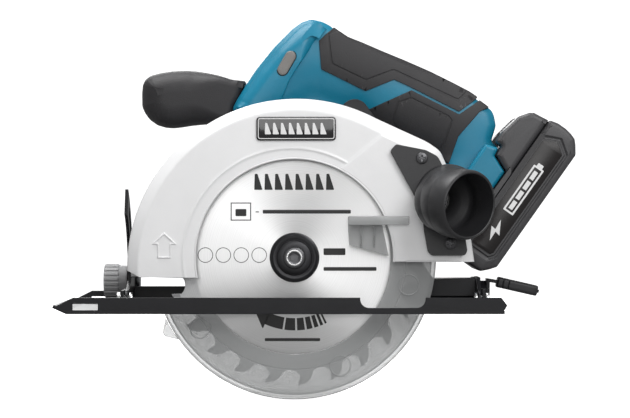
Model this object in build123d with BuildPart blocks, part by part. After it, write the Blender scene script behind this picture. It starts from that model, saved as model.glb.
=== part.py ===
"""Compact cordless circular saw, blade on its left side, with a slide-on battery.

Frame: millimetres, +Z up, +X to the rear (battery), -X to the front, +Y to the motor side.
The sole of the base is at z = 0, the middle of the saw blade is the plane y = 0, and the
blade's axis runs along Y above x = 0.
"""
import math
import os

from build123d import *

os.makedirs("parts", exist_ok=True)


# ---------------------------------------------------------------- driving dimensions
blade_diameter = 150.0
blade_bore = 16.0
blade_body = 1.1          # thickness of the steel disc
tooth_count = 24
arbor_height = 32.0       # blade axis above the sole at full depth

# upper guard
guard_x, guard_z = 1.3, 25.8          # centre of the outer rim
guard_radius = 98.9
guard_face_inset = 6.6                # sloping band between the rim and the flat face
guard_near, guard_far = -15.0, 12.0   # outside faces
guard_slope_y = -9.5                  # where the sloping band meets the rim
guard_wall = 2.5
window_radius = 57.2
front_leg_z, rear_leg_z = 20.6, 29.7  # lower ends of the guard's two legs

# lower guard
lower_radius = 82.5
lower_inner = 56.0
lower_near, lower_far = -10.0, 7.5
lower_wall = 2.0
lower_cut_z = 5.0                     # top of the guard's front end, just above the base

# base
plate = 2.0                           # sheet thickness
base_rear = 121.0
base_near, base_far = -31.0, 98.0
lip_height = 9.5
slot_front, slot_rear = -84.0, 84.0
slot_near, slot_far = -13.5, 26.0

# joints of the base
bevel_y, bevel_z = -6.0, 8.0          # bevel axis, along X
bevel_reach = 63.0                    # clamp bolt to bevel axis
bevel_rest = 8.0                      # elevation of the clamp bolt at square cut, degrees
bevel_travel = 45.0
depth_x, depth_z = -86.0, 28.0        # depth axis, along Y
depth_reach = 150.5                   # depth clamp bolt to depth axis
depth_rest = 5.0
depth_travel = 30.0

# drive
gear_module = 1.15
gear_teeth, pinion_teeth = 40, 10
motor_angle = 64.0                    # direction from blade axis to motor axis, degrees
motor_radius = 31.0                   # outside of the motor housing
running = 0.03                        # radial clearance of running fits
gap = 0.4                             # clearance between pieces of two bodies

# handle and battery
handle_y = 48.0                       # parting plane of the handle shells
grip_half = 18.5
nose_half = 23.0
pack_angle = math.degrees(math.atan2(0.817, 0.576))
pack_half = 34.0                      # half the battery's width
pack_low, pack_high = 82.0, 181.0     # its two ends along the slide direction
pack_bottom = 83.1                    # its rear face, measured across the slide direction

# dust port
port_radius, port_bore = 20.0, 18.0
port_root = Vector(89.5, -17.5, 67.0)
port_eye = (80.0, 66.0)
port_eye_radius = 9.5
port_mouth = Vector(99.8, -50.0, 62.5)
port_direction = Vector(0.61, -0.78, -0.115).normalized()
port_straight = 14.0

centre_distance = gear_module * (gear_teeth + pinion_teeth) / 2
motor_x = centre_distance * math.cos(math.radians(motor_angle))
motor_z = arbor_height + centre_distance * math.sin(math.radians(motor_angle))


# ---------------------------------------------------------------- helpers
def side(y):
    """Upright plane at depth y seen from the blade side: its x is X and its y is Z."""
    return Plane.XZ.offset(-y)


def across(x):
    """Upright plane at x seen from the rear: its x is Y and its y is Z, and it extrudes to +X."""
    return Plane.YZ.offset(x)


def polar(centre_x, centre_z, radius, degrees):
    """Point at a radius and elevation from a centre."""
    angle = math.radians(degrees)
    return (centre_x + radius * math.cos(angle), centre_z + radius * math.sin(angle))


def arc_slot(centre, radius, start, sweep, width):
    """Sketch of a curved slot with round ends."""
    half = width / 2
    end = start + sweep
    middle = start + sweep / 2
    cap = math.degrees(half / radius)
    with BuildSketch(mode=Mode.PRIVATE) as slot:
        with BuildLine():
            ThreePointArc(polar(*centre, radius + half, start), polar(*centre, radius + half, middle),
                          polar(*centre, radius + half, end))
            ThreePointArc(polar(*centre, radius + half, end), polar(*centre, radius, end + cap),
                          polar(*centre, radius - half, end))
            ThreePointArc(polar(*centre, radius - half, end), polar(*centre, radius - half, middle),
                          polar(*centre, radius - half, start))
            ThreePointArc(polar(*centre, radius - half, start), polar(*centre, radius, start - cap),
                          polar(*centre, radius + half, start))
        make_face()
    return slot.sketch


def save(builder, label):
    """Labels a finished piece and writes it as its own file."""
    builder.part.label = label
    export_step(builder.part, f"parts/{label}.step")


def gear_outline(teeth, offset_degrees=0.0):
    """Points of a spur gear outline with short involute-like teeth and generous backlash."""
    pitch = gear_module * teeth / 2
    base = pitch * math.cos(math.radians(20))
    tip = pitch + 0.8 * gear_module
    root = pitch - 1.2 * gear_module
    start = max(base, root)
    half_pitch = math.pi / (2 * teeth) * 0.86
    inv_pitch = math.tan(math.radians(20)) - math.radians(20)
    flank = []
    for step in range(4):
        radius = start + (tip - start) * step / 3
        pressure = math.acos(min(1.0, base / radius))
        flank.append((radius, half_pitch + inv_pitch - (math.tan(pressure) - pressure)))
    points = []
    for tooth in range(teeth):
        middle = 2 * math.pi * tooth / teeth + math.radians(offset_degrees)
        profile = [(root, -flank[0][1])] + [(r, -a) for r, a in flank]
        profile += [(r, a) for r, a in reversed(flank)] + [(root, flank[0][1])]
        for radius, angle in profile:
            if not points or radius > 0:
                points.append((radius * math.cos(middle + angle), radius * math.sin(middle + angle)))
    if start <= root + 1e-6:
        points = [p for i, p in enumerate(points) if i == 0 or math.dist(p, points[i - 1]) > 1e-4]
    return points


# ---------------------------------------------------------------- base
base_width = base_far - base_near
base_middle_y = (base_far + base_near) / 2
nose_x, nose_z = -139.0, 3.6
front_bend = -131.0
fence_x, fence_width, fence_height = -120.0, 14.6, 3.6

with BuildPart() as base_plate:
    with BuildSketch(Plane.XY):
        with Locations(((front_bend + base_rear) / 2, base_middle_y)):
            Rectangle(base_rear - front_bend, base_width)
        with Locations(((slot_front + slot_rear) / 2, (slot_near + slot_far) / 2)):
            Rectangle(slot_rear - slot_front, slot_far - slot_near, mode=Mode.SUBTRACT)
    extrude(amount=plate)
    # front edge turned up like a ski tip
    with BuildSketch(side(base_far)):
        Polygon((front_bend, 0), (nose_x, nose_z), (nose_x + 0.8, nose_z + 1.8),
                (front_bend + 0.5, plate), (front_bend + 4, plate), (front_bend + 4, 0), align=None)
    extrude(amount=base_width)
    # near lip with its low stretch, and the plain far lip
    with BuildSketch(side(base_near + plate)):
        with BuildLine():
            Polyline((nose_x, nose_z), (front_bend, 0), (base_rear - 4, 0), (base_rear, 2.5),
                     (base_rear + 1.5, 5.0), (base_rear - 2, lip_height), (75.5, lip_height))
            ThreePointArc((75.5, lip_height), (73.8, 4.9), (70.5, 3.6))
            Line((70.5, 3.6), (43, 3.6))
            ThreePointArc((43, 3.6), (39.7, 4.9), (38, lip_height))
            Polyline((38, lip_height), (-127, lip_height), (nose_x, nose_z))
        make_face()
    extrude(amount=plate)
    with BuildSketch(side(base_far)):
        Polygon((nose_x, nose_z), (front_bend, 0), (base_rear, 0), (base_rear, lip_height),
                (-127, lip_height), align=None)
    extrude(amount=plate)
    # slot for the rip fence through both lips
    with BuildSketch(side(base_far + 1)):
        with Locations((fence_x, plate + 0.3 + fence_height / 2)):
            Rectangle(fence_width, fence_height)
    extrude(amount=base_width + 2, mode=Mode.SUBTRACT)
save(base_plate, "base_plate")

quadrant_x = -101.0
quadrant_outer = bevel_reach + 8
bolt_radius = 3.0
pin_radius = 2.5
slot_half = bolt_radius + 0.2

with BuildPart() as bevel_quadrant:
    with BuildSketch(across(quadrant_x)):
        with Locations((29, 7.5)):
            Rectangle(82, 11)
        with BuildLine():
            CenterArc((bevel_y, bevel_z), quadrant_outer, -1, 66)
            Line(polar(bevel_y, bevel_z, quadrant_outer, 65), polar(bevel_y, bevel_z, bevel_reach - 9, 65))
            CenterArc((bevel_y, bevel_z), bevel_reach - 9, 65, -66)
            Line(polar(bevel_y, bevel_z, bevel_reach - 9, -1), polar(bevel_y, bevel_z, quadrant_outer, -1))
        make_face()
        with Locations((bevel_y, bevel_z)):
            Circle(pin_radius + running, mode=Mode.SUBTRACT)
        add(arc_slot((bevel_y, bevel_z), bevel_reach, bevel_rest, bevel_travel, 2 * slot_half),
            mode=Mode.SUBTRACT)
    extrude(amount=2)
    with BuildSketch(Plane.XY.offset(plate)):
        with Locations((quadrant_x - 5.5, 30)):
            Rectangle(11, 34)
        with Locations((quadrant_x - 6, 20), (quadrant_x - 6, 38)):
            Circle(2.0, mode=Mode.SUBTRACT)
    extrude(amount=2)
save(bevel_quadrant, "bevel_quadrant")

with BuildPart() as rear_bracket:
    with BuildSketch(across(109.4)):
        with Locations((53, 10.7)):
            Rectangle(30, 17.4)
        with Locations((57, 12)):
            Circle(bolt_radius, mode=Mode.SUBTRACT)
        with Locations((bevel_y, 8)):
            Rectangle(12, 12)
            Circle(pin_radius + running, mode=Mode.SUBTRACT)
    extrude(amount=2)
    with BuildSketch(Plane.XY.offset(plate)):
        with Locations((115.5, 53)):
            Rectangle(8.5, 30)
        with Locations((116, 44), (116, 62)):
            Circle(2.0, mode=Mode.SUBTRACT)
        with Locations((115.5, bevel_y)):
            Rectangle(8.5, 12)
    extrude(amount=2)
save(rear_bracket, "rear_bracket")

with BuildPart() as base_rivets:
    spots = [(quadrant_x - 6, 20), (quadrant_x - 6, 38), (116, 44), (116, 62)]
    with BuildSketch(Plane.XY.offset(plate)):
        with Locations(spots):
            Circle(2.0)
    extrude(amount=2)
    with BuildSketch(Plane.XY.offset(plate + 2)):
        with Locations(spots):
            Circle(3.4)
    extrude(amount=1.4, taper=25)
save(base_rivets, "base_rivets")

bolt_y, bolt_z = polar(bevel_y, bevel_z, bevel_reach, bevel_rest)

with BuildPart() as rear_bolt:
    with BuildSketch(across(103.4)):
        with Locations((57, 12)):
            RegularPolygon(5.0, 6)
    extrude(amount=3.2)
    with BuildSketch(across(106.6)):
        with Locations((57, 12)):
            Circle(bolt_radius)
    extrude(amount=9.6)
save(rear_bolt, "rear_bolt")

# lever of the rear clamp: a nut, a bent strip and a rubber sleeve
with BuildPart() as bevel_lever:
    with BuildSketch(across(111.8)):
        with Locations((57, 12)):
            RegularPolygon(5.6, 6)
            Circle(bolt_radius + running, mode=Mode.SUBTRACT)
    extrude(amount=4)
    with BuildSketch(side(62.4)):
        Polygon((115.9, 8), (115.9, 18.4), (121, 17.6), (148, 11.4), (147.4, 9.4), (120.6, 15.6),
                (118, 16.0), (117.9, 8), align=None)
    extrude(amount=10.8)
    with BuildSketch(across(115.7)):
        with Locations((57, 12)):
            Circle(bolt_radius + running)
    extrude(amount=2.3, mode=Mode.SUBTRACT)
save(bevel_lever, "bevel_lever")

sleeve_dir = Vector(27, 0, -6.2).normalized()
with BuildPart() as lever_sleeve:
    with BuildSketch(Plane(origin=(122.5, 57, 16.2), x_dir=(0, 1, 0), z_dir=sleeve_dir)):
        RectangleRounded(15, 6.6, 3.0)
    extrude(amount=25)
    with BuildSketch(side(62.4)):
        Polygon((115.9, 18.4), (121, 17.6), (148, 11.4), (147.4, 9.4), (120.6, 15.6), (115, 15.6),
                align=None)
    extrude(amount=10.8, mode=Mode.SUBTRACT)
save(lever_sleeve, "lever_sleeve")


# ---------------------------------------------------------------- tilting frame
frame_x = quadrant_x + 2 + gap
ear_near, ear_far = 13.0, 32.0
rear_frame_x = 107.0

with BuildPart() as tilt_frame:
    with BuildSketch(across(frame_x)):
        Polygon((bevel_y, bevel_z - 5), (bolt_y, bolt_z - 9), (bolt_y, bolt_z + 9), (36, 30), (34, 37),
                (13, 37), (13, 18), (bevel_y, bevel_z + 5), align=None)
        with Locations((bevel_y, bevel_z)):
            Circle(5)
            Circle(pin_radius, mode=Mode.SUBTRACT)
        with Locations((bolt_y, bolt_z)):
            Circle(9)
            Circle(bolt_radius, mode=Mode.SUBTRACT)
    extrude(amount=2)
    for ear_y in (ear_near + 2.5, ear_far):
        with BuildSketch(side(ear_y)):
            Polygon((frame_x, 20), (depth_x, depth_z - 8), (depth_x, depth_z + 8), (frame_x, 37), align=None)
            with Locations((depth_x, depth_z)):
                Circle(8)
                Circle(3.0, mode=Mode.SUBTRACT)
        extrude(amount=2.5)
    with BuildSketch(side(42)):
        Polygon((frame_x, 6), (rear_frame_x, 6), (rear_frame_x, 14), (frame_x, 14), align=None)
    extrude(amount=2)
    with BuildSketch(across(rear_frame_x)):
        Polygon((bevel_y, bevel_z - 5), (64, 4), (64, 19.2), (10, 19.2), (bevel_y, bevel_z + 5), align=None)
        with Locations((bevel_y, bevel_z)):
            Circle(5)
            Circle(pin_radius, mode=Mode.SUBTRACT)
        with Locations((57, 12)):
            Circle(bolt_radius + 0.5, mode=Mode.SUBTRACT)
        with Locations((57, 6)):
            Rectangle(2 * bolt_radius + 1, 12, mode=Mode.SUBTRACT)
    extrude(amount=2)
    with BuildSketch(Plane.XY.offset(17.2)):
        with Locations((94, 29)):
            Rectangle(26, 26)
    extrude(amount=2)
save(tilt_frame, "tilt_frame")

with BuildPart() as bevel_pins:
    for pin_x, length in ((quadrant_x - 0.5, 5.3), (rear_frame_x - 0.4, 5.2)):
        with BuildSketch(across(pin_x)):
            with Locations((bevel_y, bevel_z)):
                Circle(pin_radius)
        extrude(amount=length)
        for head_x in (pin_x - 1.8, pin_x + length):
            with BuildSketch(across(head_x)):
                with Locations((bevel_y, bevel_z)):
                    Circle(3.8)
            extrude(amount=1.8)
save(bevel_pins, "bevel_pins")

with BuildPart() as bevel_bolt:
    with BuildSketch(across(frame_x + 2)):
        with Locations((bolt_y, bolt_z)):
            Circle(6)
    extrude(amount=2.5)
    with BuildSketch(across(-112)):
        with Locations((bolt_y, bolt_z)):
            Circle(bolt_radius)
    extrude(amount=frame_x + 2 + 112)
save(bevel_bolt, "bevel_bolt")

knob_x = quadrant_x - gap - 14.6
with BuildPart() as bevel_knob:
    with BuildSketch(across(knob_x)):
        with Locations((bolt_y, bolt_z)):
            Circle(10.5)
    extrude(amount=14.6)
    with BuildSketch(across(-112.5)):
        with Locations((bolt_y, bolt_z)):
            Circle(bolt_radius + running)
    extrude(amount=12, mode=Mode.SUBTRACT)
save(bevel_knob, "bevel_knob")

arm_y = 16.0
top_angle = depth_rest + depth_travel + 1.2
with BuildPart() as depth_arm:
    with BuildSketch(side(arm_y)):
        add(arc_slot((depth_x, depth_z), depth_reach, 2, top_angle - 2, 17))
        Polygon((56.5, 33), (55, 9), (rear_frame_x, 9), (rear_frame_x, 19.2), (82, 19.2), (72.5, 33),
                align=None)
        add(arc_slot((depth_x, depth_z), depth_reach, depth_rest, depth_travel, 2 * slot_half),
            mode=Mode.SUBTRACT)
    extrude(amount=2)
save(depth_arm, "depth_arm")


# ---------------------------------------------------------------- upper guard
def guard_outline(inset):
    """Side outline of the upper guard, drawn inwards by an inset, running on below the legs."""
    radius = guard_radius - inset
    start = polar(guard_x, guard_z, radius, 62)
    with BuildSketch(mode=Mode.PRIVATE) as outline:
        with BuildLine():
            CenterArc((guard_x, guard_z), radius, 62, 118)
            Polyline((guard_x - radius, guard_z), (guard_x - radius, -60 + inset),
                     (106 - inset, -60 + inset), (105.0 - inset, 29.7),
                     (103.1 - inset, 42.4), (89.5 - inset, 84.2 - 0.6 * inset),
                     (84.9 - inset, 94.4 - 0.8 * inset), (77.5 - 0.6 * inset, 99.5 - inset), start)
        make_face()
    return outline.sketch


with BuildPart() as upper_guard:
    with BuildSketch(side(guard_far)):
        add(guard_outline(0))
    extrude(amount=guard_far - guard_near)
    outer_edges = upper_guard.faces().sort_by(Axis.Y)[0].outer_wire().edges()
    chamfer(outer_edges, length=guard_face_inset - 1.0)
    with BuildSketch(side(guard_far - 3)):
        add(guard_outline(guard_wall))
    extrude(amount=guard_far - 3 - guard_near - 8.5, mode=Mode.SUBTRACT)
    with BuildSketch(side(guard_near + 9)):
        add(guard_outline(guard_wall + guard_face_inset))
    extrude(amount=9 - guard_wall, mode=Mode.SUBTRACT)
    # window around the blade, open at the bottom
    with BuildSketch(side(guard_far - 3)):
        with Locations((0, arbor_height)):
            Circle(window_radius)
    extrude(amount=30, mode=Mode.SUBTRACT)
    # lower ends of the legs
    with BuildSketch(side(guard_far - 3)):
        Polygon((-150, front_leg_z), (0, front_leg_z), (0, rear_leg_z), (150, rear_leg_z),
                (150, -100), (-150, -100), align=None)
    extrude(amount=40, mode=Mode.SUBTRACT)
    with BuildSketch(side(guard_far + 1)):
        Polygon((-150, front_leg_z), (-27, front_leg_z), (-18, 5), (18, 5), (27, rear_leg_z),
                (150, rear_leg_z), (150, -100), (-150, -100), align=None)
    extrude(amount=40, mode=Mode.SUBTRACT)
    with BuildSketch(side(guard_far + 1)):
        Polygon((-100, front_leg_z - 1), (-88.5, front_leg_z - 1), (-100, 26), align=None)
    extrude(amount=40, mode=Mode.SUBTRACT)
    # seat of the gear case nose, the dust opening and the depth bolt's boss
    with BuildSketch(side(guard_far + 1)):
        with Locations((0, arbor_height)):
            Circle(17.0)
    extrude(amount=8, mode=Mode.SUBTRACT)
    with BuildSketch(side(-9)):
        with Locations(port_eye):
            Circle(port_eye_radius)
    extrude(amount=8, mode=Mode.SUBTRACT)
    depth_bolt_x, depth_bolt_z = polar(depth_x, depth_z, depth_reach, depth_rest)
    with BuildSketch(side(arm_y - 2 - gap)):
        with Locations((depth_bolt_x, depth_bolt_z)):
            Circle(7)
    extrude(amount=arm_y - 2 - gap - guard_far)
    with BuildSketch(side(arm_y)):
        with Locations((depth_bolt_x, depth_bolt_z)):
            Circle(bolt_radius)
    extrude(amount=8, mode=Mode.SUBTRACT)
save(upper_guard, "upper_guard")

with BuildPart() as guard_badge:
    with BuildSketch(side(guard_near)):
        with Locations((1.1, 107.0)):
            RectangleRounded(46.2, 13.8, 2.4)
    extrude(amount=0.8)
save(guard_badge, "guard_badge")

with BuildPart() as depth_bolt:
    with BuildSketch(side(25)):
        with Locations((depth_bolt_x, depth_bolt_z)):
            Circle(bolt_radius)
    extrude(amount=25 - guard_far + 3)
save(depth_bolt, "depth_bolt")

with BuildPart() as depth_lever:
    with BuildSketch(side(23)):
        with Locations((depth_bolt_x, depth_bolt_z)):
            Circle(7.5)
        with BuildLine():
            Polyline((depth_bolt_x, depth_bolt_z - 6), (depth_bolt_x + 25, depth_bolt_z + 1),
                     (depth_bolt_x + 26, depth_bolt_z + 8), (depth_bolt_x, depth_bolt_z + 7),
                     (depth_bolt_x, depth_bolt_z - 6))
        make_face()
        with Locations((depth_bolt_x, depth_bolt_z)):
            Circle(bolt_radius + running, mode=Mode.SUBTRACT)
    extrude(amount=23 - arm_y - gap)
save(depth_lever, "depth_lever")

with BuildPart() as dust_port:
    with BuildSketch(side(guard_near)):
        Polygon((59.1, 97.2), (56.2, 93.8), (74.6, 60), (75.7, 47.9), (77.9, 36), (79.8, 34.1),
                (98.6, 34.1), (99.5, 36.6), (98.6, 42.2), (86.4, 83), (82.6, 90.4), (76, 93.9), align=None)
    extrude(amount=2.5)
    with BuildSketch(side(port_root.Y)):
        with Locations((port_root.X, port_root.Z)):
            Circle(port_radius - 1.5)
    bend = port_mouth - port_direction * port_straight
    bend_plane = Plane(origin=bend, x_dir=(0.79, 0.61, 0), z_dir=port_direction)
    with BuildSketch(bend_plane):
        Circle(port_radius)
    loft()
    with BuildSketch(bend_plane):
        Circle(port_radius)
    extrude(amount=port_straight)
    with BuildSketch(bend_plane):
        Circle(port_bore)
    extrude(amount=port_straight + 1, mode=Mode.SUBTRACT)
    with BuildSketch(side(port_root.Y)):
        with Locations(port_eye):
            Circle(port_eye_radius)
    with BuildSketch(bend_plane.offset(0.01)):
        Circle(port_bore - 0.5)
    loft(mode=Mode.SUBTRACT)
    with BuildSketch(side(guard_near + 1)):
        with Locations(port_eye):
            Circle(port_eye_radius)
    extrude(amount=5, mode=Mode.SUBTRACT)
    with BuildSketch(side(guard_near)):
        with Locations((73.9, 89.8), (90.5, 40.4)):
            Circle(1.7)
    extrude(amount=3, mode=Mode.SUBTRACT)
save(dust_port, "dust_port")

with BuildPart() as port_screws:
    with BuildSketch(side(guard_near)):
        with Locations((73.9, 89.8), (90.5, 40.4)):
            Circle(1.7)
    extrude(amount=2.5)
    with BuildSketch(side(port_root.Y)):
        with Locations((73.9, 89.8), (90.5, 40.4)):
            Circle(3.4)
    extrude(amount=1.6)
save(port_screws, "port_screws")


# ---------------------------------------------------------------- lower guard
nose_points = [(-74.5, lower_cut_z), (-71.6, 0.3), (-76.8, -11.4), (-75.6, -13.8), (-67.1, -15.5),
               (-52, -8), (-47, lower_cut_z)]
tab_points = [(31.8, 39.5), (31.2, 51.1), (31.2, 56.0), (50.0, 56.0), (61, 54.5), (70, 40), (58, 20),
              (54.8, 33.1)]


def lower_sector(inner, outer):
    """Ring sector of the lower guard between two radii, from its front end round to the rear."""
    with BuildSketch(mode=Mode.PRIVATE) as sector:
        with Locations((0, arbor_height)):
            Circle(outer)
            Circle(inner, mode=Mode.SUBTRACT)
        Polygon((-120, lower_cut_z), (0, lower_cut_z), (0, arbor_height), (120, arbor_height + 44),
                (120, 140), (-120, 140), align=None, mode=Mode.SUBTRACT)
    return sector.sketch


with BuildPart() as lower_guard:
    with BuildSketch(side(lower_near + lower_wall)):
        add(lower_sector(lower_inner, lower_radius))
        Polygon(*nose_points, align=None)
        Polygon(*tab_points, align=None)
    extrude(amount=lower_wall)
    with BuildSketch(side(lower_far)):
        add(lower_sector(lower_radius - 2.5, lower_radius))
    extrude(amount=lower_far - lower_near)
    with BuildSketch(side(lower_far)):
        add(lower_sector(19.5, lower_radius))
        with Locations((0, arbor_height)):
            Circle(25)
            Circle(19.5, mode=Mode.SUBTRACT)
    extrude(amount=2)
    # finger tab that reaches out through the window and over the guard's face
    with BuildSketch(side(lower_near)):
        Polygon((31.2, 51.1), (50.0, 51.1), (50.0, 55.6), (31.2, 56.4), align=None)
    extrude(amount=8.5)
    with BuildSketch(side(guard_near - 1.2)):
        Polygon((31.2, 51.1), (66.6, 51.1), (66.6, 56.4), (31.2, 56.4), align=None)
    extrude(amount=2.3)
save(lower_guard, "lower_guard")

boss_radius = 17.0
with BuildPart() as guard_hub:
    with BuildSketch(side(guard_far - 3 - 0.35)):
        with Locations((0, arbor_height)):
            Circle(19.5)
            Circle(boss_radius + running, mode=Mode.SUBTRACT)
    extrude(amount=3.4)
save(guard_hub, "guard_hub")

with BuildPart() as guard_spring:
    coil_y = 8.25
    with BuildSketch(side(coil_y + 0.45)):
        with Locations((0, arbor_height)):
            Circle(23.2)
            Circle(22.4, mode=Mode.SUBTRACT)
        with Locations((0, arbor_height)):
            Circle(24.8)
            Circle(24.0, mode=Mode.SUBTRACT)
        with Locations((0, arbor_height + 23.6)):
            Rectangle(0.9, 1.2)
        with Locations((0, arbor_height + 30)):
            Rectangle(0.9, 11)
    extrude(amount=0.9)
save(guard_spring, "guard_spring")

with BuildPart() as guard_bumper:
    stop_x, stop_z = polar(0, arbor_height, 88.2, 172)
    with BuildSketch(side(guard_far - 3)):
        with Locations((stop_x, stop_z)):
            Circle(2.6)
    extrude(amount=12)
save(guard_bumper, "guard_bumper")


# ---------------------------------------------------------------- gear case, spindle and blade
case_far = 38.0
case_radius = 27.5
bell_radius = 33.0
bearing_outer, bearing_bore = 14.0, 6.0
small_outer, small_bore = 9.5, 3.5
spindle_radius = 6.0


def case_outline(inset):
    """Outline of the gear case: a round about the blade axis joined to one about the motor axis."""
    with BuildSketch(mode=Mode.PRIVATE) as outline:
        with Locations((0, arbor_height)):
            Circle(case_radius - inset)
        with Locations((motor_x, motor_z)):
            Circle(bell_radius - inset)
        make_hull()
    return outline.sketch


with BuildPart() as gear_case:
    with BuildSketch(side(case_far)):
        add(case_outline(0))
    extrude(amount=case_far - guard_far)
    # front arm with the depth lug, and the tower of the lock button
    with BuildSketch(side(ear_far - 3.0)):
        Polygon((depth_x, depth_z - 8), (-15, 18), (-15, 52), (depth_x, depth_z + 8), align=None)
        with Locations((depth_x, depth_z)):
            Circle(8)
    extrude(amount=13)
    with BuildSketch(Plane.XY.offset(75)):
        with Locations((2.6, 19)):
            Circle(5.5)
    extrude(amount=40)
    with BuildSketch(side(guard_far)):
        with Locations((0, arbor_height)):
            Circle(boss_radius)
    extrude(amount=7)
    # gear chamber and the bearing seats
    with BuildSketch(side(31)):
        with Locations((0, arbor_height)):
            Circle(25)
        with Locations((motor_x, motor_z)):
            Circle(10)
    extrude(amount=9.5, mode=Mode.SUBTRACT)
    with BuildSketch(side(case_far)):
        with Locations((motor_x, motor_z)):
            Circle(small_outer)
    extrude(amount=7, mode=Mode.SUBTRACT)
    with BuildSketch(side(22)):
        with Locations((0, arbor_height)):
            Circle(8.5)
    extrude(amount=18, mode=Mode.SUBTRACT)
    with BuildSketch(side(14)):
        with Locations((0, arbor_height)):
            Circle(bearing_outer)
    extrude(amount=8, mode=Mode.SUBTRACT)
    with BuildSketch(side(35)):
        with Locations((0, arbor_height)):
            Circle(8.0)
    extrude(amount=5, mode=Mode.SUBTRACT)
    # bores of the depth pin and of the lock button
    with BuildSketch(side(40)):
        with Locations((depth_x, depth_z)):
            Circle(3.0 + running)
    extrude(amount=40, mode=Mode.SUBTRACT)
    with BuildSketch(Plane.XY.offset(60)):
        with Locations((2.6, 19)):
            Circle(2.5 + running)
    extrude(amount=60, mode=Mode.SUBTRACT)
save(gear_case, "gear_case")

with BuildPart() as depth_pin:
    with BuildSketch(side(ear_far + 1.8)):
        with Locations((depth_x, depth_z)):
            Circle(5)
    extrude(amount=1.8)
    with BuildSketch(side(ear_far)):
        with Locations((depth_x, depth_z)):
            Circle(3.0)
    extrude(amount=ear_far - ear_near + 0.4)
save(depth_pin, "depth_pin")


def ball_bearing(name, centre, y_far, width, outer, bore):
    """Plain ball bearing with its axis along Y, shields slightly sunk between the rings."""
    ring = (outer - bore) * 0.28
    with BuildPart() as bearing:
        with BuildSketch(side(y_far)):
            with Locations(centre):
                Circle(outer)
                Circle(bore, mode=Mode.SUBTRACT)
        extrude(amount=width)
        for shield_y, depth in ((y_far, 0.5), (y_far - width + 0.5, 0.5)):
            with BuildSketch(side(shield_y)):
                with Locations(centre):
                    Circle(outer - ring)
                    Circle(bore + ring, mode=Mode.SUBTRACT)
            extrude(amount=depth, mode=Mode.SUBTRACT)
    save(bearing, name)


ball_bearing("spindle_bearing", (0, arbor_height), 14, 8, bearing_outer, spindle_radius + running)
ball_bearing("spindle_rear_bearing", (0, arbor_height), 35, 5, 8.0, 4.0 + running)
ball_bearing("motor_front_bearing", (motor_x, motor_z), 38, 6, small_outer, small_bore + running)

with BuildPart() as spindle:
    with BuildSketch(side(30)):
        with Locations((0, arbor_height)):
            Circle(spindle_radius)
    extrude(amount=30.55)
    with BuildSketch(side(35)):
        with Locations((0, arbor_height)):
            Circle(4.0)
    extrude(amount=5)
    with BuildSketch(side(blade_body / 2 + 0.2)):
        with Locations((0, arbor_height)):
            Circle(blade_bore / 2)
            Circle(4.0, mode=Mode.SUBTRACT)
    extrude(amount=3.0)
    with BuildSketch(side(14)):
        with Locations((0, arbor_height)):
            Circle(4.0)
    extrude(amount=20, mode=Mode.SUBTRACT)
save(spindle, "spindle")

gear_far, gear_near = 30.0, 22.4
with BuildPart() as spindle_gear:
    with BuildSketch(Plane(origin=(0, gear_far, arbor_height), x_dir=(1, 0, 0), z_dir=(0, -1, 0))):
        Polygon(*gear_outline(gear_teeth, motor_angle), align=None)
        Circle(spindle_radius, mode=Mode.SUBTRACT)
        with PolarLocations(14.5, 6):
            Circle(3.0, mode=Mode.SUBTRACT)
    extrude(amount=gear_far - gear_near)
save(spindle_gear, "spindle_gear")

with BuildPart() as inner_flange:
    with BuildSketch(side(4.6)):
        with Locations((0, arbor_height)):
            Circle(13.0)
            Circle(spindle_radius, mode=Mode.SUBTRACT)
    extrude(amount=2.0)
    with BuildSketch(side(2.6)):
        with Locations((0, arbor_height)):
            Circle(14.6)
            Circle(spindle_radius, mode=Mode.SUBTRACT)
    extrude(amount=2.6 - blade_body / 2)
    with BuildSketch(side(blade_body / 2 + 0.3)):
        with Locations((0, arbor_height)):
            Circle(blade_bore / 2)
    extrude(amount=0.3, mode=Mode.SUBTRACT)
save(inner_flange, "inner_flange")

first_tip = -28.4
tooth_pitch = 360 / tooth_count


def blade_outline():
    """Toothed outline of the blade: hooked teeth whose cutting faces lead clockwise."""
    radius = blade_diameter / 2
    points = []
    for tooth in range(tooth_count):
        tip = first_tip + tooth_pitch * tooth
        points.append(polar(0, 0, radius, tip))
        points.append(polar(0, 0, radius - 1.1, tip + 3.5))
        points.append(polar(0, 0, radius - 3.6, tip + 6.0))
        points.append(polar(0, 0, radius - 7.4, tip + 7.6))
        points.append(polar(0, 0, radius - 9.1, tip + 10.4))
        points.append(polar(0, 0, radius - 8.4, tip + 13.8))
        points.append(polar(0, 0, radius - 5.5, tip + 16.2))
    return points


with BuildPart() as blade:
    with BuildSketch(Plane(origin=(0, blade_body / 2, arbor_height), x_dir=(1, 0, 0), z_dir=(0, -1, 0))):
        Polygon(*blade_outline(), align=None)
        Circle(blade_bore / 2, mode=Mode.SUBTRACT)
    extrude(amount=blade_body)
save(blade, "blade")

with BuildPart() as outer_flange:
    with BuildSketch(side(-blade_body / 2)):
        with Locations((0, arbor_height)):
            Circle(14.65)
            Circle(4.0, mode=Mode.SUBTRACT)
    extrude(amount=5.5, taper=12)
    with BuildSketch(side(-blade_body / 2)):
        with Locations((0, arbor_height)):
            Circle(blade_bore / 2)
    extrude(amount=2.4, mode=Mode.SUBTRACT)
save(outer_flange, "outer_flange")

with BuildPart() as blade_bolt:
    with BuildSketch(side(12)):
        with Locations((0, arbor_height)):
            Circle(4.0)
    extrude(amount=12 + 6.05)
    with BuildSketch(side(-6.05)):
        with Locations((0, arbor_height)):
            Circle(6.2)
    extrude(amount=5.0)
    with BuildSketch(side(-8.0)):
        with Locations((0, arbor_height)):
            RegularPolygon(2.9, 6)
    extrude(amount=4, mode=Mode.SUBTRACT)
save(blade_bolt, "blade_bolt")

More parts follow.
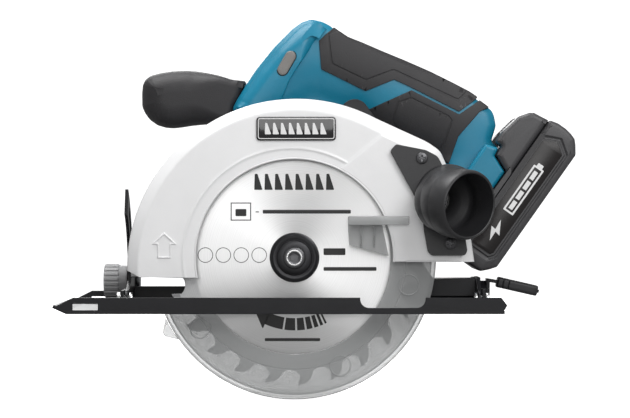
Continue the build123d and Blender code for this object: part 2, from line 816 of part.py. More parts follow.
with BuildPart() as spindle_lock_button:
    with BuildSketch(Plane.XY.offset(64)):
        with Locations((2.6, 19)):
            Circle(2.5)
    extrude(amount=55)
    with BuildSketch(Plane.XY.offset(119)):
        with Locations((2.6, 19)):
            Circle(4.2)
    extrude(amount=6.6)
    fillet(spindle_lock_button.faces().sort_by(Axis.Z)[-1].edges(), radius=3.4)
save(spindle_lock_button, "spindle_lock_button")


# ---------------------------------------------------------------- motor
housing_far = 100.0
cap_far = 115.0
core_near, core_far = 48.0, 82.0
rotor_radius = 18.5
motor_axis = (motor_x, motor_z)

with BuildPart() as motor_housing:
    with BuildSketch(side(housing_far)):
        with Locations(motor_axis):
            Circle(motor_radius)
            Circle(motor_radius - 2.5, mode=Mode.SUBTRACT)
    extrude(amount=housing_far - case_far)
save(motor_housing, "motor_housing")

with BuildPart() as motor_end_cap:
    with BuildSketch(side(cap_far)):
        with Locations(motor_axis):
            Circle(motor_radius)
    extrude(amount=cap_far - housing_far)
    fillet(motor_end_cap.faces().sort_by(Axis.Y)[-1].edges(), radius=7)
    with BuildSketch(side(cap_far - 3)):
        with Locations(motor_axis):
            Circle(motor_radius - 7)
            Circle(small_outer + 2.5, mode=Mode.SUBTRACT)
    extrude(amount=20, mode=Mode.SUBTRACT)
    with BuildSketch(side(cap_far - 7)):
        with Locations(motor_axis):
            Circle(small_outer)
    extrude(amount=20, mode=Mode.SUBTRACT)
    # cooling slots
    with BuildSketch(side(cap_far + 1)):
        with Locations(motor_axis):
            with PolarLocations(18, 10):
                SlotOverall(8, 2.4, mode=Mode.ADD)
    extrude(amount=8, mode=Mode.SUBTRACT)
save(motor_end_cap, "motor_end_cap")

ball_bearing("motor_rear_bearing", motor_axis, cap_far - 7, 6, small_outer, small_bore + running)

with BuildPart() as motor_stator:
    with BuildSketch(side(core_far)):
        with Locations(motor_axis):
            Circle(motor_radius - 2.5)
            Circle(rotor_radius + 0.8, mode=Mode.SUBTRACT)
    extrude(amount=core_far - core_near)
save(motor_stator, "motor_stator")

with BuildPart() as motor_shaft:
    with BuildSketch(side(cap_far - 7.2)):
        with Locations(motor_axis):
            Circle(small_bore)
    extrude(amount=cap_far - 7.2 - 22.4)
save(motor_shaft, "motor_shaft")

with BuildPart() as motor_pinion:
    with BuildSketch(Plane(origin=(motor_x, gear_far + 0.5, motor_z), x_dir=(1, 0, 0), z_dir=(0, -1, 0))):
        Polygon(*gear_outline(pinion_teeth, motor_angle + 180 + 180 / pinion_teeth), align=None)
        Circle(small_bore, mode=Mode.SUBTRACT)
    extrude(amount=gear_far - gear_near + 0.6)
save(motor_pinion, "motor_pinion")

with BuildPart() as armature:
    with BuildSketch(side(core_far)):
        with Locations(motor_axis):
            Circle(rotor_radius)
            with PolarLocations(rotor_radius - 0.6, 12):
                Rectangle(3.0, 1.6, mode=Mode.SUBTRACT)
            Circle(small_bore, mode=Mode.SUBTRACT)
    extrude(amount=core_far - core_near)
    for coil_face in (core_far + 3.2, core_near):
        with BuildSketch(side(coil_face)):
            with Locations(motor_axis):
                Circle(15.5)
                Circle(small_bore, mode=Mode.SUBTRACT)
        extrude(amount=3.2)
save(armature, "armature")

with BuildPart() as commutator:
    with BuildSketch(side(98)):
        with Locations(motor_axis):
            Circle(10.5)
            Circle(small_bore, mode=Mode.SUBTRACT)
    extrude(amount=11)
save(commutator, "commutator")

with BuildPart() as brush_holders:
    for sign in (-1, 1):
        with BuildSketch(side(97)):
            with Locations((motor_x + sign * 19.4, motor_z)):
                Rectangle(17.2, 8)
        extrude(amount=9)
save(brush_holders, "brush_holders")

with BuildPart() as motor_fan:
    with BuildSketch(side(core_near - 3.4)):
        with Locations(motor_axis):
            Circle(25)
            Circle(small_bore, mode=Mode.SUBTRACT)
    extrude(amount=1.4)
    with BuildSketch(side(core_near - 3.4)):
        with Locations(motor_axis):
            Circle(7)
            Circle(small_bore, mode=Mode.SUBTRACT)
            with PolarLocations(17, 11):
                Rectangle(15, 1.2)
    extrude(amount=5.4)
save(motor_fan, "motor_fan")


# ---------------------------------------------------------------- handle shells
nose_line = [(-37.3, 121.1), (-34.6, 126.2), (-29, 135.4), (-23.5, 143.8), (-12.4, 157.6), (-1.3, 168.7),
             (4.2, 172.6), (9.8, 174.3), (16.2, 172.9), (21.4, 170.2)]
grip_line = [(25.6, 166), (31.1, 162.3), (39.5, 159), (51.3, 153.9), (65.8, 147.9), (80.2, 141.6),
             (94.7, 134.4), (103.9, 129.6), (108.2, 126.7), (113.5, 122.8), (117.8, 119.8), (119.4, 116.5)]
wall = 2.5
deck = 54.6                           # plane where the battery meets the receiver


def pack_xz(along, across_slide):
    """Point given along the slide and across it towards the back, as (x, z)."""
    angle = math.radians(pack_angle)
    return (along * math.cos(angle) + across_slide * math.sin(angle),
            along * math.sin(angle) - across_slide * math.cos(angle))


rear_line = [pack_xz(159.6, 35.0), pack_xz(150.2, 38.0), pack_xz(149.8, 43.4), pack_xz(143.6, 43.6),
             pack_xz(139, deck), pack_xz(84, deck), pack_xz(84, 34)]
gap_line = [(14, 112), (30, 111), (60, 103), (88, 88), (94, 80), (86, 54), (50, 52), (46, 62), (40, 78),
            (22, 93), (12, 98)]


def shell_outline():
    """Side outline of the handle with its finger opening."""
    with BuildSketch(mode=Mode.PRIVATE) as outline:
        Polygon(*(nose_line + grip_line + rear_line + [(60, 38), (44, 40), (motor_x, motor_z),
                                                      (-10, 84), (-34, 100)]), align=None)
        Polygon(*gap_line, align=None, mode=Mode.SUBTRACT)
    return outline.sketch


def shell_cavity():
    """Hollow of the handle: the outline drawn in by the wall."""
    with BuildSketch(mode=Mode.PRIVATE) as outline:
        Polygon(*(nose_line + grip_line + rear_line + [(60, 38), (44, 40), (motor_x, motor_z),
                                                      (-10, 84), (-34, 100)]), align=None)
        offset(amount=-wall, kind=Kind.INTERSECTION)
    with BuildSketch(mode=Mode.PRIVATE) as opening:
        Polygon(*gap_line, align=None)
        offset(amount=wall, kind=Kind.INTERSECTION)
    return outline.sketch - opening.sketch


# places of the shell screws, the trigger pin and the lock-off button
screw_spots = [(108, 98), (24, 126), (62, 45)]
trigger_pin = (36, 128)
button_angle = 60.0
button_spot = (-4.9, 147.3)
trigger_line = [(32, 132), (40, 132), (58, 118), (52, 104.5), (40, 104), (34, 100), (26, 94.5), (22, 96),
                (22.5, 102), (27, 112), (29, 124)]


def shell_half(sign):
    """One handle shell: sign -1 for the blade side, +1 for the motor side."""
    far = handle_y if sign < 0 else handle_y + grip_half
    inner_far = handle_y if sign < 0 else handle_y + grip_half - wall
    with BuildPart() as shell:
        with BuildSketch(side(far)):
            add(shell_outline())
        extrude(amount=grip_half)
        rim_face = shell.faces().sort_by(Axis.Y)[0 if sign < 0 else -1]
        chamfer(rim_face.outer_wire().edges(), length=3.5)
        with BuildSketch(side(inner_far)):
            add(shell_cavity())
        extrude(amount=grip_half - wall, mode=Mode.SUBTRACT)
        # wider nose
        nose_far = handle_y - grip_half + wall if sign < 0 else handle_y + nose_half
        with BuildSketch(side(nose_far)):
            Polygon((-34, 121), (-26, 135), (-10, 155.5), (0, 165), (9, 169.5), (15, 168), (13, 158),
                    (14, 140), (10, 120), (2, 112), (-31, 112), align=None)
        extrude(amount=nose_half - grip_half + wall)
        # receiver block the battery slides onto
        for block_half, block_low in ((24.4, 84), (31, 104)):
            block_y = handle_y if sign < 0 else handle_y + block_half
            with BuildSketch(side(block_y)):
                Polygon(pack_xz(block_low, deck), pack_xz(139, deck), pack_xz(143.6, 43.6),
                        pack_xz(149.0, 43.4), pack_xz(146, 35), pack_xz(block_low + 4, 35), align=None)
            extrude(amount=block_half)
        # channel for the battery's T rail, open upwards
        stem_far = handle_y if sign < 0 else handle_y + 18.4
        with BuildSketch(side(stem_far)):
            Polygon(pack_xz(80, deck + 1), pack_xz(160, deck + 1), pack_xz(160, 46.3), pack_xz(80, 46.3),
                    align=None)
        extrude(amount=18.4, mode=Mode.SUBTRACT)
        flange_far = handle_y if sign < 0 else handle_y + 22.4
        with BuildSketch(side(flange_far)):
            Polygon(pack_xz(80, 50.4), pack_xz(160, 50.4), pack_xz(160, 46.3), pack_xz(80, 46.3),
                    align=None)
        extrude(amount=22.4, mode=Mode.SUBTRACT)
        # room for the terminal block
        terminal_far = handle_y if sign < 0 else handle_y + 14
        with BuildSketch(side(terminal_far)):
            Polygon(pack_xz(100, 47), pack_xz(122, 47), pack_xz(122, 38), pack_xz(100, 38), align=None)
        extrude(amount=14, mode=Mode.SUBTRACT)
        # saddle on the motor and clearance behind the gear case
        with BuildSketch(side(cap_far)):
            with Locations(motor_axis):
                Circle(motor_radius + 0.05)
        extrude(amount=cap_far - case_far + 0.05, mode=Mode.SUBTRACT)
        with BuildSketch(side(case_far + 0.05)):
            with Locations(motor_axis):
                Circle(bell_radius + 0.05)
        extrude(amount=30, mode=Mode.SUBTRACT)
        # trigger slot, trigger pin and the bore of the lock-off button
        slot_far_y = handle_y if sign < 0 else handle_y + 7.4
        with BuildSketch(side(slot_far_y)):
            Polygon((20, 90), (21, 104), (26, 126), (30, 135), (44, 135), (66, 121), (64, 96), (40, 92),
                    align=None)
        extrude(amount=7.4, mode=Mode.SUBTRACT)
        pin_far = handle_y - 7.6 if sign < 0 else handle_y + grip_half - 1
        with BuildSketch(side(pin_far)):
            with Locations(trigger_pin):
                Circle(4.0)
        extrude(amount=grip_half - 8.6)
        with BuildSketch(side(handle_y + 10)):
            with Locations(trigger_pin):
                Circle(1.5)
        extrude(amount=20, mode=Mode.SUBTRACT)
        with BuildSketch(side(slot_far_y)):
            with Locations(trigger_pin):
                Circle(4.1)
        extrude(amount=7.4, mode=Mode.SUBTRACT)
        if sign < 0:
            with BuildSketch(side(handle_y)):
                with Locations(Location((button_spot[0], button_spot[1], 0), (0, 0, button_angle))):
                    SlotOverall(16.6, 7.1)
            extrude(amount=nose_half + 1, mode=Mode.SUBTRACT)
    return shell


shell_left = shell_half(-1)
save(shell_left, "shell_left")
shell_right = shell_half(1)
save(shell_right, "shell_right")

with BuildPart() as shell_screws:
    with BuildSketch(side(handle_y + grip_half + 1.0)):
        with Locations(*screw_spots):
            Circle(3.2)
    extrude(amount=1.0)
save(shell_screws, "shell_screws")

with BuildPart() as trigger_pivot:
    with BuildSketch(side(handle_y + 9.5)):
        with Locations(trigger_pin):
            Circle(1.5)
    extrude(amount=19)
save(trigger_pivot, "trigger_pivot")

with BuildPart() as trigger:
    with BuildSketch(side(handle_y + 7)):
        Polygon(*trigger_line, align=None)
        with Locations(trigger_pin):
            Circle(4.0)
            Circle(1.5 + running, mode=Mode.SUBTRACT)
    extrude(amount=14)
save(trigger, "trigger")

with BuildPart() as switch_module:
    with BuildSketch(side(handle_y + 9)):
        Polygon((70, 116), (92, 105.5), (99, 119), (77, 129), align=None)
    extrude(amount=18)
save(switch_module, "switch_module")

button_near = handle_y - nose_half - 1.2
with BuildPart() as lock_off_button:
    with BuildSketch(side(button_near + 12)):
        with Locations(Location((button_spot[0], button_spot[1], 0), (0, 0, button_angle))):
            SlotOverall(16.0, 6.5)
    extrude(amount=12)
    chamfer(lock_off_button.faces().sort_by(Axis.Y)[0].edges(), length=0.6)
save(lock_off_button, "lock_off_button")


# ---------------------------------------------------------------- grips and front handle
grip_upper_line = [(21.9, 168.7), (19.0, 165.4), (14.4, 161), (15.7, 143.9), (42.2, 130.8), (59.3, 137.7),
                   (68.2, 133.6), (98.1, 118.5), (106.5, 124.6), (109.6, 127.4)]
grip_lower_line = [(69.6, 131.4), (98.1, 117.0), (110.6, 125.6), (116.5, 121.4), (110.6, 118.6), (97.7, 103.8),
                   (92, 86.5), (88, 88), (60, 103), (50.2, 108.0), (44.4, 120.1)]
skin = 1.0


top_skin = [(x + 0.9, z + 1.8) for x, z in grip_line[:9]]
with BuildPart() as grip_upper:
    for face_y in (handle_y - grip_half, handle_y + grip_half + skin):
        with BuildSketch(side(face_y)):
            Polygon(*(grip_upper_line + list(reversed(top_skin))), align=None)
        extrude(amount=skin)
    with BuildSketch(side(handle_y + grip_half)):
        Polygon(*([grip_line[0]] + grip_line[1:9] + list(reversed(top_skin))), align=None)
    extrude(amount=2 * grip_half)
save(grip_upper, "grip_upper")

under_skin = [(60, 103), (88, 88), (87.2, 86.6), (59.2, 101.6)]
with BuildPart() as grip_lower:
    for face_y in (handle_y - grip_half, handle_y + grip_half + skin):
        with BuildSketch(side(face_y)):
            Polygon(*grip_lower_line, align=None)
            Polygon(*under_skin, align=None)
        extrude(amount=skin)
    with BuildSketch(side(handle_y + grip_half)):
        Polygon(*under_skin, align=None)
    extrude(amount=2 * grip_half)
save(grip_lower, "grip_lower")

front_half = 14.0
with BuildPart() as front_handle:
    with BuildSketch(side(handle_y + front_half)):
        Polygon((-29.4, 137.2), (-38.0, 138.2), (-46.1, 140.8), (-53.1, 142.5), (-60.0, 143.6), (-66.0, 144.0),
                (-74.0, 143.6), (-81.0, 142.6), (-87.2, 141.0), (-90.4, 138.6), (-92.0, 135.5), (-92.5, 130.3),
                (-92.4, 122.2), (-90.6, 118.1), (-87.6, 114.1), (-83.0, 110.9), (-77.8, 109.4), (-73.2, 109.1),
                (-68.0, 109.7), (-62.2, 110.6), (-54.0, 111.5), (-37.6, 112.5), (-37.6, 121.6),
                (-34.9, 126.8), align=None)
    extrude(amount=2 * front_half)
    chamfer(front_handle.faces().sort_by(Axis.Y)[0].outer_wire().edges(), length=3.0)
    chamfer(front_handle.faces().sort_by(Axis.Y)[-1].outer_wire().edges(), length=3.0)
save(front_handle, "front_handle")


# ---------------------------------------------------------------- battery
def pack_polygon(points):
    """Polygon given by (along, across) points."""
    Polygon(*[pack_xz(a, c) for a, c in points], align=None)


case_line = [(pack_low, 58.0), (pack_low, 76.0), (86.0, 80.0), (90.2, pack_bottom), (171.6, pack_bottom),
             (176.4, 79.4), (179.1, 77.0), (180.3, 73.4), (pack_high, 69.1), (pack_high, 63.5), (179.6, 58.0)]
cell_radius, cell_length = 9.1, 64.6
cell_pitch = 18.45
cell_across = 70.0
cell_first = pack_low + 12.0

with BuildPart() as battery_case:
    with BuildSketch(side(handle_y + pack_half)):
        pack_polygon(case_line)
    extrude(amount=2 * pack_half)
    flanks = battery_case.faces().sort_by(Axis.Y)
    chamfer(flanks[0].edges(), length=2.0)
    chamfer(battery_case.faces().sort_by(Axis.Y)[-1].edges(), length=2.0)
    with BuildSketch(side(handle_y + cell_length / 2 + 0.2)):
        pack_polygon([(84.2, 57), (84.2, 79.6), (177.4, 79.6), (178.4, 57)])
    extrude(amount=cell_length + 0.4, mode=Mode.SUBTRACT)
save(battery_case, "battery_case")

with BuildPart() as battery_cells:
    for index in range(5):
        with BuildSketch(side(handle_y + cell_length / 2)):
            with Locations(pack_xz(cell_first + index * cell_pitch, cell_across)):
                Circle(cell_radius)
        extrude(amount=cell_length)
    with BuildSketch(side(handle_y + 4)):
        pack_polygon([(cell_first, 70), (cell_first + 4 * cell_pitch, 70), (cell_first + 4 * cell_pitch, 74),
                      (cell_first, 74)])
    extrude(amount=8)
save(battery_cells, "battery_cells")

with BuildPart() as battery_cover:
    with BuildSketch(side(handle_y + pack_half - 0.6)):
        pack_polygon([(pack_low + 0.4, deck + gap), (pack_low + 0.4, 57.9), (179.3, 57.9), (178.4, 52.4),
                      (177.9, 48.0), (176.1, 45.6), (170.7, 41.6), (158.1, 39.2), (150.4, 39.0),
                      (150.4, 44.0), (144.2, 44.2), (139.6, deck + gap)])
    extrude(amount=2 * pack_half - 1.2)
    # T rail that runs in the receiver
    with BuildSketch(side(handle_y + 18)):
        pack_polygon([(90, deck + gap + 0.1), (143, deck + gap + 0.1), (150, 46.8), (90, 46.8)])
    extrude(amount=36)
    with BuildSketch(side(handle_y + 22)):
        pack_polygon([(90, 50.0), (146, 50.0), (150, 46.8), (90, 46.8)])
    extrude(amount=44)
    # slots for the terminal blades, room for the latch and hollow over the cells
    with BuildSketch(side(handle_y + 12)):
        pack_polygon([(85, 52.4), (124, 52.4), (124, 40), (85, 40)])
    extrude(amount=24, mode=Mode.SUBTRACT)
    with BuildSketch(side(handle_y + 15.4)):
        pack_polygon([(154.6, 50.6), (154.6, 36), (190, 36), (190, 48), (177, 48), (177, 50.6)])
    extrude(amount=30.8, mode=Mode.SUBTRACT)
    with BuildSketch(side(handle_y + 29)):
        pack_polygon([(cell_first, 56.2), (cell_first, 60), (170, 60), (170, 56.2)])
    extrude(amount=58, mode=Mode.SUBTRACT)
save(battery_cover, "battery_cover")

with BuildPart() as battery_latch:
    with BuildSketch(side(handle_y + 15)):
        pack_polygon([(155.2, 47.6), (155.2, 43.0), (158.4, 40.0), (170.4, 42.2), (175.6, 46.4), (176.5, 47.6)])
    extrude(amount=30)
    for index in range(4):
        with BuildSketch(side(handle_y + 16)):
            pack_polygon([(160.6 + 3 * index, 39.0 + 0.55 * index), (161.8 + 3 * index, 39.0 + 0.55 * index),
                          (161.8 + 3 * index, 41.2 + 0.55 * index), (160.6 + 3 * index, 41.0 + 0.55 * index)])
        extrude(amount=32, mode=Mode.SUBTRACT)
save(battery_latch, "battery_latch")

with BuildPart() as battery_label:
    with BuildSketch(side(handle_y - pack_half)):
        pack_polygon([(94, 64.0), (94, 74.8), (96, 76.2), (166.5, 76.2), (171.6, 69.2), (166.8, 61.8),
                      (96, 61.8)])
    extrude(amount=0.5)
    with BuildSketch(side(handle_y + pack_half + 0.5)):
        pack_polygon([(94, 64.0), (94, 74.8), (96, 76.2), (166.5, 76.2), (171.6, 69.2), (166.8, 61.8),
                      (96, 61.8)])
    extrude(amount=0.5)
save(battery_label, "battery_label")

with BuildPart() as terminal_block:
    with BuildSketch(side(handle_y + 13.5)):
        pack_polygon([(101, 46.1), (121, 46.1), (121, 38.6), (101, 38.6)])
    extrude(amount=27)
    for offset_y in (-8, 0, 8):
        with BuildSketch(side(handle_y + offset_y + 0.6)):
            pack_polygon([(103, 46.1), (119, 46.1), (119, 51.6), (103, 51.6)])
        extrude(amount=1.2)
save(terminal_block, "terminal_block")
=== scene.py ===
"""Compact battery circular saw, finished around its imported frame.

Metres, +Z up, +X to the rear, the blade side facing -Y. Outlines are drawn in millimetres in
the upright plane of the blade as (x, z), with depth along Y, and become metres in the mesh.
"""

import math

import bmesh
import bpy
import numpy as np
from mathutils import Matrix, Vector
from mathutils.geometry import delaunay_2d_cdt


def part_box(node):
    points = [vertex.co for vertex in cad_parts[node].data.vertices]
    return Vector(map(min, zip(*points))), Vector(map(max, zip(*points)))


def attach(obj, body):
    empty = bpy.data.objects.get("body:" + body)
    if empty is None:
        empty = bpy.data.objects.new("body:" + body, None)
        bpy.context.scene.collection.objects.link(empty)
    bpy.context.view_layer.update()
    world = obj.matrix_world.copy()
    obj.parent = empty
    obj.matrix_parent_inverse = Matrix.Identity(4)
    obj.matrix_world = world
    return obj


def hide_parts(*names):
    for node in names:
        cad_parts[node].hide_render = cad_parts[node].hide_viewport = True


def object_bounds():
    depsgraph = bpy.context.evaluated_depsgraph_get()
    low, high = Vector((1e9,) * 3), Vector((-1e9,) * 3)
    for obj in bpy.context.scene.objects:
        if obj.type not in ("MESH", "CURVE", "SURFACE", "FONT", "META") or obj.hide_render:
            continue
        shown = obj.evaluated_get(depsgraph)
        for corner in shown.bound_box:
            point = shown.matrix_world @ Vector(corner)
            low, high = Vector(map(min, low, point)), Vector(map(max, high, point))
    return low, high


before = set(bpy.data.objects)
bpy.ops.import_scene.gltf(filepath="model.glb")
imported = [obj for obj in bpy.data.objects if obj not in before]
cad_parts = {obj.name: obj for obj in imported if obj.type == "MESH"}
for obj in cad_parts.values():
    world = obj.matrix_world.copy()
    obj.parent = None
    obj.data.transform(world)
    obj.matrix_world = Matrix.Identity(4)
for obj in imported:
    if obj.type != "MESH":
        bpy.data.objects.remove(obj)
cad_low, cad_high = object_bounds()
MM = 0.001


# ------------------------------------------------------------------------------------------
# Base: a pressed steel shoe with folded lips, zinc and black painted brackets riveted on.
# Its own sheet-metal shapes are right as they come, so they get eased edges and their paint.
# ------------------------------------------------------------------------------------------
def surface(name, colour, roughness, metallic=0.0, mottle=0.08, mottle_scale=60.0, grain=900.0,
            grain_depth=0.00006, scuff=0.0, scuff_colour=(0.5, 0.5, 0.5), **shader):
    """A finish: colour varied by soft noise, roughness by a second noise, and bump from a fine
    grain. scuff mixes in a worn colour where a stretched noise peaks."""
    material = bpy.data.materials.new(name)
    material.use_nodes = True
    nodes, links = material.node_tree.nodes, material.node_tree.links
    principled = nodes["Principled BSDF"]
    place = nodes.new("ShaderNodeTexCoord")
    broad = nodes.new("ShaderNodeTexNoise")
    broad.inputs["Scale"].default_value = mottle_scale
    broad.inputs["Detail"].default_value = 5.0
    links.new(place.outputs["Object"], broad.inputs["Vector"])
    ramp = nodes.new("ShaderNodeValToRGB")
    ramp.color_ramp.elements[0].position = 0.3
    ramp.color_ramp.elements[1].position = 0.7
    ramp.color_ramp.elements[0].color = [c * (1 - mottle) for c in colour] + [1]
    ramp.color_ramp.elements[1].color = [min(1.0, c * (1 + mottle)) for c in colour] + [1]
    links.new(broad.outputs["Fac"], ramp.inputs["Fac"])
    top_colour = ramp.outputs["Color"]
    if scuff > 0:
        worn = nodes.new("ShaderNodeTexNoise")
        worn.inputs["Scale"].default_value = 140.0
        worn.inputs["Detail"].default_value = 9.0
        worn.inputs["Roughness"].default_value = 0.7
        links.new(place.outputs["Object"], worn.inputs["Vector"])
        edge = nodes.new("ShaderNodeMapRange")
        edge.inputs["From Min"].default_value = 0.66
        edge.inputs["From Max"].default_value = 0.74
        edge.inputs["To Max"].default_value = scuff
        links.new(worn.outputs["Fac"], edge.inputs["Value"])
        wear = nodes.new("ShaderNodeMixRGB")
        wear.inputs["Color2"].default_value = (*scuff_colour, 1)
        links.new(edge.outputs["Result"], wear.inputs["Fac"])
        links.new(top_colour, wear.inputs["Color1"])
        top_colour = wear.outputs["Color"]
    links.new(top_colour, principled.inputs["Base Color"])
    sheen = nodes.new("ShaderNodeMapRange")
    sheen.inputs["To Min"].default_value = max(0.02, roughness - 0.07)
    sheen.inputs["To Max"].default_value = min(1.0, roughness + 0.07)
    links.new(broad.outputs["Fac"], sheen.inputs["Value"])
    links.new(sheen.outputs["Result"], principled.inputs["Roughness"])
    fine = nodes.new("ShaderNodeTexNoise")
    fine.inputs["Scale"].default_value = grain
    fine.inputs["Detail"].default_value = 3.0
    links.new(place.outputs["Object"], fine.inputs["Vector"])
    bump = nodes.new("ShaderNodeBump")
    bump.inputs["Strength"].default_value = 1.0
    bump.inputs["Distance"].default_value = grain_depth
    links.new(fine.outputs["Fac"], bump.inputs["Height"])
    links.new(bump.outputs["Normal"], principled.inputs["Normal"])
    principled.inputs["Metallic"].default_value = metallic
    for socket, value in shader.items():
        principled.inputs[socket.replace("_", " ")].default_value = value
    return material


def refinish(node, material, ease=0.0):
    """Gives a frame node its finish and, with ease in mm, rounds its edges."""
    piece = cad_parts[node]
    piece.data.materials.clear()
    piece.data.materials.append(material)
    if ease > 0:
        weld = piece.modifiers.new("weld", "WELD")
        weld.merge_threshold = 0.00001
        bevel = piece.modifiers.new("eased", "BEVEL")
        bevel.width = ease * MM
        bevel.segments = 2
        bevel.limit_method = "ANGLE"
        bevel.angle_limit = math.radians(35)
        bevel.harden_normals = True


black_paint = surface("black_paint", (0.010, 0.010, 0.012), 0.36, mottle=0.15, grain=1500,
                      grain_depth=0.00003,
                      scuff=0.12, scuff_colour=(0.10, 0.10, 0.11), Specular_IOR_Level=0.3)
zinc = surface("zinc", (0.42, 0.43, 0.44), 0.36, metallic=1.0, mottle=0.12, mottle_scale=180, grain=700)
bright_steel = surface("bright_steel", (0.62, 0.62, 0.62), 0.26, metallic=1.0, mottle=0.08)
refinish("base_plate", black_paint, 0.5)
refinish("rear_bracket", black_paint, 0.3)
refinish("bevel_quadrant", black_paint, 0.4)
refinish("base_rivets", bright_steel)
refinish("rear_bolt", zinc, 0.3)
refinish("tilt_frame", black_paint, 0.3)
refinish("depth_arm", black_paint, 0.3)
refinish("depth_pin", bright_steel, 0.3)
refinish("depth_bolt", zinc, 0.3)
refinish("bevel_pins", bright_steel, 0.3)
refinish("bevel_bolt", zinc, 0.3)


# ------------------------------------------------------------------------------------------
# Upper guard: a die-cast shell painted white, open below, with a round window for the blade,
# a sloping band round its face and a rolled rim. A flat rear wall carries the gear case.
# ------------------------------------------------------------------------------------------
arbor = np.array([0.0, 32.0])
guard_centre = np.array([1.3, 25.8])
guard_radius = 98.9
guard_band = 6.6                      # width of the sloping band seen from the side
guard_near, guard_far, guard_wall = -15.0, 12.0, 2.5
window_radius = 57.2
front_leg, rear_leg = 20.6, 29.7      # heights of the two legs' lower ends


def arc(centre, radius, start, end, count):
    """Points on a circle from one angle to another, in degrees."""
    angle = np.radians(np.linspace(start, end, count))
    return np.array(centre) + radius * np.stack([np.cos(angle), np.sin(angle)], axis=1)


def evenly(points, count, ease=0.0):
    """The open line resampled at equal steps of its length. ease, in mm, rounds its corners by a
    running mean over that length, keeping both ends."""
    points = np.asarray(points, float)
    steps = np.concatenate([[0], np.cumsum(np.linalg.norm(np.diff(points, axis=0), axis=1))])
    fine_count = 2000
    where = np.linspace(0, steps[-1], fine_count)
    line = np.stack([np.interp(where, steps, points[:, k]) for k in range(points.shape[1])], axis=1)
    half = int(ease / steps[-1] * fine_count / 2)
    if half > 0:
        padded = np.concatenate([2 * line[0] - line[half:0:-1], line, 2 * line[-1] - line[-2:-half - 2:-1]])
        total = np.cumsum(np.concatenate([np.zeros((1, line.shape[1])), padded]), axis=0)
        line = (total[2 * half + 1:] - total[:-2 * half - 1]) / (2 * half + 1)
    pick = np.linspace(0, fine_count - 1, count)
    return np.stack([np.interp(pick, np.arange(fine_count), line[:, k]) for k in range(line.shape[1])],
                    axis=1)


def shifted(line, distance, closed=True):
    """The line moved to its left by a distance: each point goes along the mean of its two side
    normals, over the cosine of half its turn."""
    before = line - np.roll(line, 1, axis=0)
    after = np.roll(line, -1, axis=0) - line
    if not closed:
        before[0], after[-1] = after[0], before[-1]
    first = np.stack([-before[:, 1], before[:, 0]], axis=1)
    second = np.stack([-after[:, 1], after[:, 0]], axis=1)
    first /= np.linalg.norm(first, axis=1, keepdims=True) + 1e-12
    second /= np.linalg.norm(second, axis=1, keepdims=True) + 1e-12
    mean = first + second
    mean /= np.linalg.norm(mean, axis=1, keepdims=True) + 1e-12
    cosine = np.clip(np.sum(mean * first, axis=1, keepdims=True), 0.4, 1)
    return line + mean * distance / cosine


def make_piece(name, vertices, faces, material, crease=32.0):
    """A mesh object from points in mm and faces, sealed, turned outwards and smooth-shaded up to
    the crease angle."""
    mesh = bpy.data.meshes.new(name)
    mesh.from_pydata((np.asarray(vertices, float) * MM).tolist(), [], [list(map(int, f)) for f in faces])
    work = bmesh.new()
    work.from_mesh(mesh)
    bmesh.ops.remove_doubles(work, verts=work.verts, dist=2e-6)
    bmesh.ops.dissolve_degenerate(work, dist=1e-6, edges=work.edges)
    bmesh.ops.recalc_face_normals(work, faces=work.faces)
    work.to_mesh(mesh)
    work.free()
    mesh.shade_smooth()
    mesh.set_sharp_from_angle(angle=math.radians(crease))
    piece = bpy.data.objects.new(name, mesh)
    bpy.context.scene.collection.objects.link(piece)
    mesh.materials.append(material)
    return piece


def grid_faces(rows, columns, start=0, wrap_rows=False, wrap_columns=False):
    """Quads between neighbouring points of a rows by columns grid, as an array."""
    index = start + np.arange(rows * columns).reshape(rows, columns)
    if wrap_rows:
        index = np.concatenate([index, index[:1]], axis=0)
    if wrap_columns:
        index = np.concatenate([index, index[:, :1]], axis=1)
    return np.stack([index[:-1, :-1], index[1:, :-1], index[1:, 1:], index[:-1, 1:]], axis=-1).reshape(-1, 4)


def dress(piece, body, nodes=()):
    """The piece moves with a body and stands for frame nodes, which are hidden."""
    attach(piece, body)
    if nodes:
        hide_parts(*nodes)
    return piece


guard_corners = [(77.5, 99.5), (84.9, 94.4), (89.5, 84.2), (103.1, 42.4), (104.9, rear_leg)]
rim = np.concatenate([[(-97.4, front_leg)], arc(guard_centre, guard_radius, 179.8, 62, 160), guard_corners])
rows = 420
rim = evenly(rim, rows, ease=6.0)[::-1]         # from the rear leg round to the front one
window_start = math.degrees(math.asin((rear_leg - arbor[1]) / window_radius))
window_end = 180 - math.degrees(math.asin((front_leg - arbor[1]) / window_radius))
window = arc(arbor, window_radius, window_start, window_end, rows)


def guard_relief(x, z):
    """Height of the face's raised lines over its flat: a rounded lip round the window at 63 to
    66 mm from the axis, and a raised pad beside the dust port past a slanting line."""
    radius = np.hypot(x + 1.4, z - 32.5)
    past = (x - 31.2) * 0.626 - (z - 87.7) * 0.779
    lip = 0.55 * np.exp(-((radius - 63.2) / 0.75) ** 2) * (past < 0)
    pad = 0.55 / (1 + np.exp(-np.clip(past / 0.3, -30, 30))) * (x > 25)
    return np.maximum(lip, pad * (z > 30))


